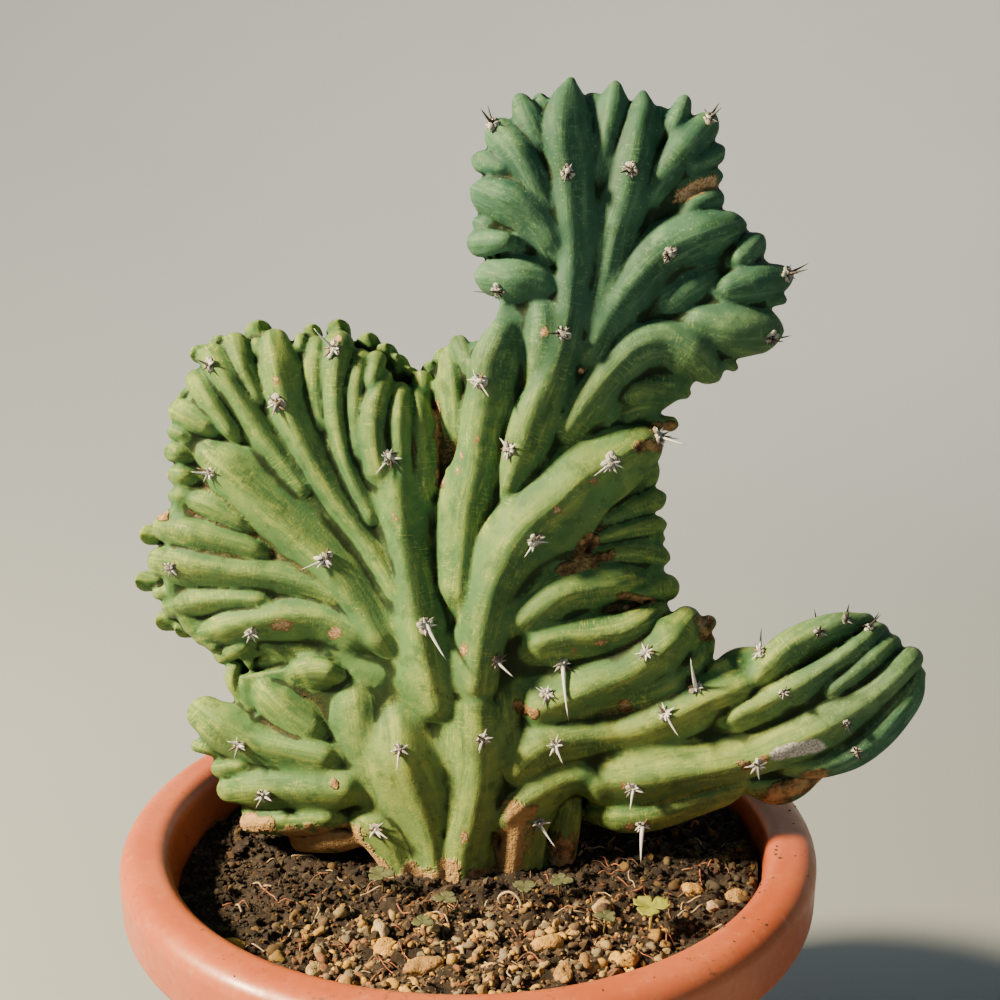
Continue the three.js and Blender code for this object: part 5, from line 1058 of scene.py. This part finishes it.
def ball(level, seed, lumps, squash=(1, 1, 1)):
    """Points and faces of a lumpy ball."""
    bm = bmesh.new()
    bmesh.ops.create_icosphere(bm, subdivisions=level, radius=1)
    p = np.array([v.co for v in bm.verts])
    f = [[v.index for v in q.verts] for q in bm.faces]
    bm.free()
    r = np.ones(len(p))
    g = np.random.default_rng(seed)
    for _ in range(5):
        d = unit(g.normal(size=3))
        r += lumps * 0.6 * np.sin(p @ d * g.uniform(1.5, 4) + g.uniform(0, 6))
        r -= np.maximum(0, p @ unit(g.normal(size=3)) - g.uniform(0.55, 0.8)) * lumps * 4
    return p * r[:, None] * squash, f


def turned(p, g):
    """p turned by a random rotation."""
    q, _ = np.linalg.qr(g.normal(size=(3, 3)))
    return p @ (q * np.sign(np.linalg.det(q)))


def spun(p, angle):
    """p turned round Z."""
    c, s = math.cos(angle), math.sin(angle)
    return np.stack([p[:, 0] * c - p[:, 1] * s, p[:, 0] * s + p[:, 1] * c, p[:, 2]], -1)


def needle(root, way, length, radius, tint, bend, sides, rows):
    """A tapering spine, slightly bent, its foot at root."""
    way = unit(way)
    side = unit(np.cross(way, (0.3, 0.5, 0.8)))
    up = np.cross(side, way)
    rings = []
    for k in range(rows):
        q = k / rows
        centre = root + way * length * q + up * bend * length * q * q
        rings.append(tube_ring(centre, radius * (1 - q) ** 0.8, side, up, sides))
    spines.loft(rings, root - way * 0.4, root + way * length + up * bend * length, tint)


WHITE, GREY, BLACK, BROWN = (0.5, 0.47, 0.41), (0.24, 0.22, 0.19), (0.02, 0.017, 0.016), (0.13, 0.08, 0.05)
PEARL, WOOLS = (0.66, 0.62, 0.54), [(0.6, 0.55, 0.46), (0.36, 0.31, 0.24), (0.52, 0.48, 0.4)]
SHORT_SPINES = 6  # at least, on each cushion
TUFTS = 6  # balls of wool on each cushion, one of them in the middle
spines, wool = Shell(), Shell()


def spine_cushion(i, x, z, length, degrees, side):
    """A tuft of wool with short spines and a long one, on the front (side -1) or the back (1)."""
    g = np.random.default_rng(100 + 2 * i + (side > 0))
    far = seen(x, z, side * 300)
    way = Vector(seen(x, z, 0)) - Vector(far)
    hit, normal, _, _ = hide.ray_cast(Vector(far), way.normalized())
    if hit is None or (side > 0 and z < SHADED):
        return
    hit, normal = np.array(hit), np.array(normal)
    a = math.radians(degrees) + (0 if side < 0 else 0.9 * (g.random() - 0.5))
    across = unit(np.cross(normal, (0, 0.2, 1)))
    basis = np.stack([across, np.cross(across, normal), normal])
    # those of the crown and the arm's tip are dark, and smaller
    dark = z > 385 or x > 120
    size = 2.7 if z > 385 else 3.2 if z > 265 and x > -80 else 2.5
    if x > 120:
        size = 1.7
    for k in range(TUFTS):
        p, f = ball(2, 300 + 7 * i + k, 0.35, (1, 1, 0.62))
        b = 2 * math.pi * k / (TUFTS - 1)
        off = np.array([math.cos(b), math.sin(b), 0.15]) * size * 0.55 if k else np.array([0, 0, 0.35 * size])
        tone = np.array(WOOLS[(i + k) % 3]) * g.uniform(0.75, 1.1)
        wool.add(hit + (p * size * g.uniform(0.42, 0.62) + off) @ basis, f, tone)
    count = SHORT_SPINES + i % 3
    for k in range(count):
        b = 2 * math.pi * (k + g.uniform(-0.3, 0.3)) / count
        out = unit((math.cos(b), math.sin(b), g.uniform(0.1, 0.75))) @ basis
        if dark:
            tone = BLACK if g.random() < 0.55 else GREY
        else:
            tone = (GREY, WHITE, PEARL, BROWN)[g.integers(4)]
        reach, radius = (g.uniform(1.8, 3.4), 0.5) if dark else (g.uniform(2.4, 4.8), 0.72)
        root = hit + out * size * 0.35 + normal * 0.4
        needle(root, out, reach, radius, tone, g.uniform(-0.2, 0.2), 5, 3)
    long = length if side < 0 else 5 + 7 * g.random()
    tone = BLACK if dark else PEARL if long > 6 else GREY
    way = np.array([math.cos(a), side * 0.55, math.sin(a)])
    needle(hit + normal * 0.8, way, long, 1.0 if long > 12 else 0.7, tone, 0.06, 6, 5)


for i, areole in enumerate(AREOLES):
    for side in (-1, 1):
        spine_cushion(i, *areole, side)
spine_skin = plain("spine", (0.9, 0.9, 0.9), (1, 1, 1), 3, 0.45, 0.03)
wool_skin = plain("wool", (0.7, 0.68, 0.65), (1, 1, 1), 0.8, 0.95, 0.3)
place("spines", spines.mesh("spines"), spine_skin)
place("spine_cushions", wool.mesh("wool"), wool_skin)


# The pot, turned round Z from a profile (radius, height)
RIM_ROUND, LIP_ROUND = RIM_RADIUS - 9, LIP_RADIUS + 7  # the middles of the rim's two rounds
RIM_LEVEL, BAND_FOOT = POT_HEIGHT - 8, POT_HEIGHT - RIM_DEPTH
HOLLOW = 0.3  # under the middle of the pot's flat underside


def arc(cx, cz, rx, rz, start, stop, steps):
    """Part of an ellipse round (cx, cz), from start to stop degrees."""
    angles = [math.radians(a) for a in np.linspace(start, stop, steps)]
    return [(cx + rx * math.cos(a), cz + rz * math.sin(a)) for a in angles]


def wall_at(z):
    """The wall's outer radius at height z."""
    return BASE_RADIUS + (WALL_TOP_RADIUS - BASE_RADIUS) * z / BAND_FOOT


def pot_profile():
    foot = [(DRAIN_RING + 12, HOLLOW), (DRAIN_RING + 16, 0)] + arc(BASE_RADIUS - 3, 3, 3, 3, -90, -20, 5)
    outside = [(wall_at(z), z) for z in (20, 60, 100, 140, BAND_FOOT - 2)]
    band = [(wall_at(BAND_FOOT) + 1.5, BAND_FOOT - 0.2)]
    band += arc(RIM_RADIUS - 4.3, BAND_FOOT + 4, 4, 4, -90, 0, 6)
    rim = arc(RIM_ROUND, RIM_LEVEL, 9, 8, 0, 90, 12) + arc(LIP_ROUND, RIM_LEVEL, 7, 8, 90, 180, 10)
    inside = [(wall_at(z) - WALL, z) for z in (BAND_FOOT - 2, 120, 60, 12)]
    return foot + outside + band + rim + inside + [(BASE_RADIUS - WALL - 3, WALL)]


pot, holes = Shell(), Shell()
pot.loft([ring(160, z, r) for r, z in pot_profile()], (0, 0, HOLLOW), (0, 0, WALL))
for i in range(DRAIN_COUNT):
    a = 2 * math.pi * i / DRAIN_COUNT
    x, y = DRAIN_RING * math.cos(a), DRAIN_RING * math.sin(a)
    holes.loft([ring(24, z, DRAIN_RADIUS, x=x, y=y) for z in (-5, 9)], (x, y, -5), (x, y, 9))
cutter = link("holes", holes.mesh("holes"))
pot = with_modifier(pot.mesh("pot"), "BOOLEAN", object=cutter, solver="EXACT")
bpy.data.objects.remove(cutter)
place("pot_shell", pot, pot_material(), ["pot"])


# The soil
rng = np.random.default_rng(7)
waves = []  # small ones of the soil's surface
for fineness, height in ((0.35, 0.6), (0.8, 0.4), (1.5, 0.4)):
    waves += [(rng.normal(size=2) * fineness, rng.uniform(0, 6), height) for _ in range(9)]
soil_radius = WALL_TOP_RADIUS - WALL - 1.0


def soil_height(x, y):
    """The soil's surface without its small waves."""
    heap = 2.5 * np.exp(-((np.hypot(x, y) / 60) ** 2))
    rough = 1.1 * np.sin(x * 0.17 + 1.3) * np.cos(y * 0.21 + 0.4) + 0.8 * np.sin(x * 0.41 - y * 0.33)
    return SOIL_LEVEL - 1.5 + SOIL_TILT * x + heap + rough - 2 * ramp((np.hypot(x, y) - 100) / 18)


def crumbly_height(x, y):
    """The same with the small waves."""
    return soil_height(x, y) + sum(h * 0.5 * np.sin(w[0] * x + w[1] * y + q) for w, q, h in waves)


rings = [ring(300, WALL + 0.4, BASE_RADIUS - WALL - 4), ring(300, 130, soil_radius - 8)]
rings.append(ring(300, 160, soil_radius - 0.6))
for r in np.linspace(soil_radius, 1.2, 96):
    x, y, _ = ring(300, 0, r).T
    rings.append(np.stack([x, y, crumbly_height(x, y)], -1))
soil = Shell()
soil.loft(rings, (0, 0, WALL + 0.4), (0, 0, float(soil_height(0, 0))))
place("soil_bed", soil.mesh("soil"), soil_material(), ["soil"])

OCHRE, TAN, DARK, EARTH = (0.56, 0.31, 0.075), (0.38, 0.21, 0.07), (0.06, 0.038, 0.025), (0.13, 0.075, 0.04)
GREY_GRIT, PALE, RED = (0.2, 0.155, 0.1), (0.44, 0.31, 0.14), (0.26, 0.11, 0.05)


def scatter(name, count, sizes, level, tones, where, seed):
    """Grains on the soil, each a lumpy bit of its own colour, as many as where(x, y) lets through."""
    g = np.random.default_rng(seed)
    shell = Shell()
    forms = [ball(level, seed + k, 0.3) for k in range(6)]
    made = 0
    while made < count:
        x, y = g.uniform(-116, 116, 2)
        if math.hypot(x, y) > soil_radius - 2 or g.random() > where(x, y):
            continue
        s = sizes[0] + (sizes[1] - sizes[0]) * g.random() ** 2
        z = float(crumbly_height(x, y)) + s * 0.25
        at = Vector((x, y, z))
        made += 1
        near, normal, _, dist = hide.find_nearest(at)
        if dist < s or (at - near).dot(normal) < 0:
            continue
        p, f = forms[(made - 1) % 6]
        p = turned(p * s * g.uniform(0.7, 1.25, 3), g) * (1, 1, 0.8)
        tone = np.array(tones[g.integers(len(tones))]) * g.uniform(0.6, 1.25)
        # the grains are darker everywhere but in a patch in front
        dry = float(soft((-y - 25) / 30) * soft((90 - abs(x - 8)) / 40))
        shell.add(p + (x, y, z), f, tone * (0.2 + 0.8 * dry))
    return shell.mesh(name)


def anywhere(x, y):
    return 1.0


def front_band(x, y):
    return 0.12 + 0.88 * float(soft((-y - 35) / 30) * soft((95 - abs(x + 5)) / 45)) + 0.25 * (x > 60)


grain = plain("grain", (0.6, 0.57, 0.5), (1.1, 1.04, 0.9), 1.6, 0.9, 0.25)
crumb_tones = [DARK] * 3 + [EARTH] * 2 + [GREY_GRIT, RED]
fine_tones = [DARK] * 2 + [EARTH] * 3 + [TAN, RED, OCHRE]
grit_tones = [OCHRE] * 3 + [TAN] * 2 + [GREY_GRIT] * 2 + [PALE, EARTH, RED]
fine_crumb = scatter("fine", 7000, (0.45, 1.25), 1, fine_tones, anywhere, 11)
crumb = scatter("crumb", 3600, (0.9, 2.1), 1, crumb_tones, anywhere, 17)
grit = scatter("grit", 560, (1.4, 3.0), 2, grit_tones, front_band, 23)
place("fine_crumb", fine_crumb, grain, smooth=False)
place("crumb", crumb, grain, smooth=False)
place("grit", grit, grain)


# The larger stones, each in place of its node
def stone(number, x, y, size):
    p, f = ball(4, 39 + number, 0.13)
    v = p / np.linalg.norm(p, axis=1)[:, None]
    form = 1 + 0.07 * np.sin(v[:, 0] * 4 + number) * np.cos(v[:, 1] * 3 - number * 2)
    form = form + 0.06 * np.sin(v[:, 2] * 5 + number * 3)
    chips = 0.03 * np.sin(v @ (9, 5, 7) + number) + 0.02 * np.sin(v @ (17, -13, 11) + 2 * number)
    p = spun(p * 0.97 * (form + chips)[:, None] * size, number * 1.7)
    tone = (PALE, OCHRE, TAN, (0.5, 0.36, 0.22), OCHRE)[number % 5]
    shell = Shell()
    shell.add(p + (x, y, float(soil_height(x, y)) + size[2] * 0.3), f, tone)
    return shell.mesh("stone")


stone_skin = plain("stone", (0.6, 0.52, 0.42), (1.15, 1.1, 1.0), 2.6, 0.9, 1.1)
for number, (x, y, *size) in enumerate(STONES, 1):
    place("stone_look_%d" % number, stone(number, x, y, size), stone_skin, ["stone_%d" % number])


# A patch of moss, and crumbs of soil on the rim, more of them on the right
def mossy(x, y):
    return float(soft(1.25 - math.hypot((x - MOSS[0]) / 15, (y - MOSS[1]) / 9)))


def rim_dirt():
    shell, g = Shell(), np.random.default_rng(8)
    for k in range(60):
        a = math.radians(g.normal(-22, 16) if k < 34 else g.uniform(-180, 180))
        up = math.radians(g.uniform(40, 140))
        r = RIM_ROUND + 9 * math.cos(up) if up < math.pi / 2 else LIP_ROUND + 7 * math.cos(up)
        p, f = ball(1, 70 + k % 5, 0.3)
        p = turned(p * g.uniform(0.3, 0.9) * g.uniform(0.6, 1.5, 3), g) * (1, 1, 0.5)
        at = (r * math.cos(a), r * math.sin(a), RIM_LEVEL + 8 * math.sin(up) - 0.1)
        shell.add(p + at, f, np.array(DARK) * g.uniform(0.5, 1.6))
    return shell.mesh("rim_dirt")


MOSS_TONES = [(0.3, 0.32, 0.05), (0.2, 0.23, 0.06), (0.42, 0.4, 0.22)]
moss = scatter("moss", 420, (0.6, 1.5), 1, MOSS_TONES, mossy, 31)
place("moss", moss, grain, smooth=False)
place("rim_dirt", rim_dirt(), grain, smooth=False)


# Clover seedlings: a thin stem and three folded, heart-shaped leaflets
LEAF_ROWS = 9  # points along a leaflet, and across it
LEAF_THICKNESS = 0.32
VEIN, STEM = (1.35, 1.25, 1.3), (1.3, 0.75, 0.6)


def leaflet(i, k, size):
    """A leaflet's points, from its foot at the origin along +X, and their colours."""
    points, tints = [], []
    for q in np.arange(LEAF_ROWS) / (LEAF_ROWS - 1):
        half = 0.52 * size * math.sin(math.pi * min(1, 0.1 + q * 0.72)) ** 0.75
        half = half * (0.25 + 0.75 * min(1, q * 2.2))
        for v in 2 * np.arange(LEAF_ROWS) / (LEAF_ROWS - 1) - 1:
            notch = 0.17 * size * max(0, 1 - abs(v) * 1.9) * q**4
            corner = 0.28 * size * abs(v) ** 3 * q**3
            x, y = q * size - notch - corner - 0.05 * size, v * half
            points.append((x, y, 0.16 * abs(y) - 0.09 * x * q + 0.12 * math.sin(3 * v + k + i) * q))
            vein = abs(v) < 0.1 or (abs(v) < 0.7 and 0.42 < q < 0.6)
            tints.append(VEIN if vein else (1, 1, 1))
    return np.array(points), tints


def leaf_faces():
    """Faces of a leaflet with an upper and a lower side."""
    m, low, faces = LEAF_ROWS, LEAF_ROWS**2, []
    for r in range(m - 1):
        for q in range(r * m, r * m + m - 1):
            faces.append([q, q + 1, q + m + 1, q + m])
            faces.append([low + v for v in (q, q + m, q + m + 1, q + 1)])
    cell = np.arange(low).reshape(m, m)
    edge = [int(v) for v in (*cell[0], *cell[1:, -1], *cell[-1, -2::-1], *cell[-2:0:-1, 0])]
    return faces + [[a, low + a, low + b, b] for a, b in zip(edge, edge[1:] + edge[:1])]


def clover(i, x, y, height, size):
    z = float(soil_height(x, y))
    shell, top, stem = Shell(), np.array([x, y, z + height - 0.2]), []
    for q in np.linspace(0, 1, 8):
        centre = np.array([x + 0.8 * math.sin(q * 2.6 + i), y, z - 4 + (height + 3.8) * q])
        stem.append(tube_ring(centre, 0.42, np.array([1, 0, 0]), np.array([0, 1, 0]), 8))
    shell.loft(stem, (x, y, z - 4), top, STEM)
    for k in range(3):
        p, tints = leaflet(i, k, size)
        tilt = 0.12 + 0.1 * chance(i, k)
        c, s = math.cos(tilt), math.sin(tilt)
        p = np.stack([p[:, 0] * c - p[:, 2] * s, p[:, 1], p[:, 0] * s + p[:, 2] * c], -1)
        p = spun(p, k * 2 * math.pi / 3 + i * 1.3) + top
        lift = np.array([0, 0, LEAF_THICKNESS / 2])
        shell.add(np.concatenate([p + lift, p - lift]), leaf_faces(), tints * 2)
    return shell.mesh("clover")


# the leaflets' dull dark olive is partly their own colour and partly painted shade; one seedling is pale
# yellow-green
leaf_dark_and_shaded = leaf_material("clover_leaf", (0.095, 0.098, 0.042), (0.058, 0.065, 0.03))
leaf_pale = leaf_material("clover_leaf_pale", (0.27, 0.26, 0.03), (0.16, 0.18, 0.03))
for i, seedling in enumerate(CLOVERS):
    leaf = leaf_pale if i == 5 else leaf_dark_and_shaded
    place("clover_look_%d" % (i + 1), clover(i, *seedling), leaf, ["clover_%d" % (i + 1)])


# Dry rootlets and bits of straw on the soil, and one curled pale root
ROOT_TONES = [(0.3, 0.1, 0.04), (0.45, 0.3, 0.16), (0.12, 0.06, 0.03)]
CURLED_ROOT = [(14, -46, 0), (12, -46, 5), (16, -47, 8), (20, -48, 5), (20.5, -49, -1)]


def strand(shell, points, radius, tint):
    """A thin tube along a curve through the points."""
    p = np.array(points, float)
    q = spline(p, np.linspace(0, 1, len(p)), np.linspace(0, 1, 5 * len(p)))
    rings = []
    for centre, way in zip(q, np.gradient(q, axis=0)):
        side = unit(np.cross(way, (0.2, 0.1, 1)))
        rings.append(tube_ring(centre, radius, side, unit(np.cross(way, side)), 5))
    shell.loft(rings, q[0], q[-1], tint)


def rootlets():
    shell, g = Shell(), np.random.default_rng(5)
    for k in range(210):
        x, y = g.uniform(-90, 100), g.uniform(-105, 20)
        if math.hypot(x, y) > 108 or (abs(x) < 45 and y > -26):
            continue
        way, points = g.uniform(0, 2 * math.pi), []
        for j in range(5):
            lift = 0.4 + (1.6 if j in (1, 3) else 0.2) * g.random()
            points.append((x, y, float(crumbly_height(x, y)) + lift))
            way += g.uniform(-0.7, 0.7)
            x, y = x + 2.8 * math.cos(way), y + 2.8 * math.sin(way)
        strand(shell, points, g.uniform(0.18, 0.42), ROOT_TONES[k % 3])
    strand(shell, [(x, y, SOIL_LEVEL + up) for x, y, up in CURLED_ROOT], 0.55, (0.5, 0.36, 0.2))
    return shell.mesh("straw")


straw = plain("straw", (0.8, 0.8, 0.8), (1.1, 1.1, 1.1), 2, 0.8, 0.05)
place("rootlets", rootlets(), straw)


# Stage, light and camera
FLOOR_SIDES = 96


def lamp(name, at, aim, size, power, colour):
    light = bpy.data.lights.new(name, "AREA")
    light.energy, light.size, light.color = power, size, colour
    ob = link(name, light)
    ob.location = at
    ob.rotation_euler = (Vector(aim) - Vector(at)).to_track_quat("-Z", "Y").to_euler()
    ob.visible_camera = False


def floor_mesh():
    """A floor 2.2 m across that sweeps up into a wall all round, seamlessly."""
    rows = [(1100 * q, 0) for q in (0.2, 0.4, 0.7, 1)]
    for a in np.linspace(0.05, math.pi / 2, 30):
        rows.append((1100 + 2100 * math.sin(a), 2100 - 2100 * math.cos(a)))
    rows.append((3200, 3000))
    points = np.concatenate([[(0, 0, 0)]] + [ring(FLOOR_SIDES, z, r) for r, z in rows])
    faces = []
    for k in range(FLOOR_SIDES):
        after = (k + 1) % FLOOR_SIDES
        faces.append([0, 1 + k, 1 + after])
        for a in range(1, len(points) - FLOOR_SIDES, FLOOR_SIDES):
            b = a + FLOOR_SIDES
            faces.append([a + k, b + k, b + after, a + after])
    sheet = Shell()
    sheet.add(points, faces)
    return sheet.mesh("floor")


floor = link("floor", floor_mesh())
n = Nodes("floor", 0.85)
floor.data.materials.append(n.finish(n.mix(n.noise(500, 2), (0.27, 0.278, 0.265), (0.295, 0.303, 0.29))))
floor.data.polygons.foreach_set("use_smooth", [True] * len(floor.data.polygons))
world = bpy.data.worlds.new("world")
world.use_nodes = True
world.node_tree.nodes["Background"].inputs["Color"].default_value = (0.55, 0.8, 1, 1)
world.node_tree.nodes["Background"].inputs["Strength"].default_value = 0.165
bpy.context.scene.world = world
lamp("key", (-1.42, -0.43, 1.32), (0.0, 0, 0.3), 0.22, 216, (1, 0.74, 0.43))
lamp("fill", (0.9, -1.3, 1.0), (0.0, 0, 0.25), 1.2, 2.2, (0.85, 0.93, 1))
lamp("backdrop", (0.3, 1.0, 1.9), (-0.2, 3.0, 1.0), 1.4, 89, (1, 0.83, 0.64))

cam = bpy.data.cameras.new("camera")
cam.lens, cam.sensor_width = 54, 36
camera = link("camera", cam)
camera.location = [v / 1000 for v in EYE]
camera.rotation_euler = (math.radians(74.87), 0, 0)
bpy.context.scene.camera = camera
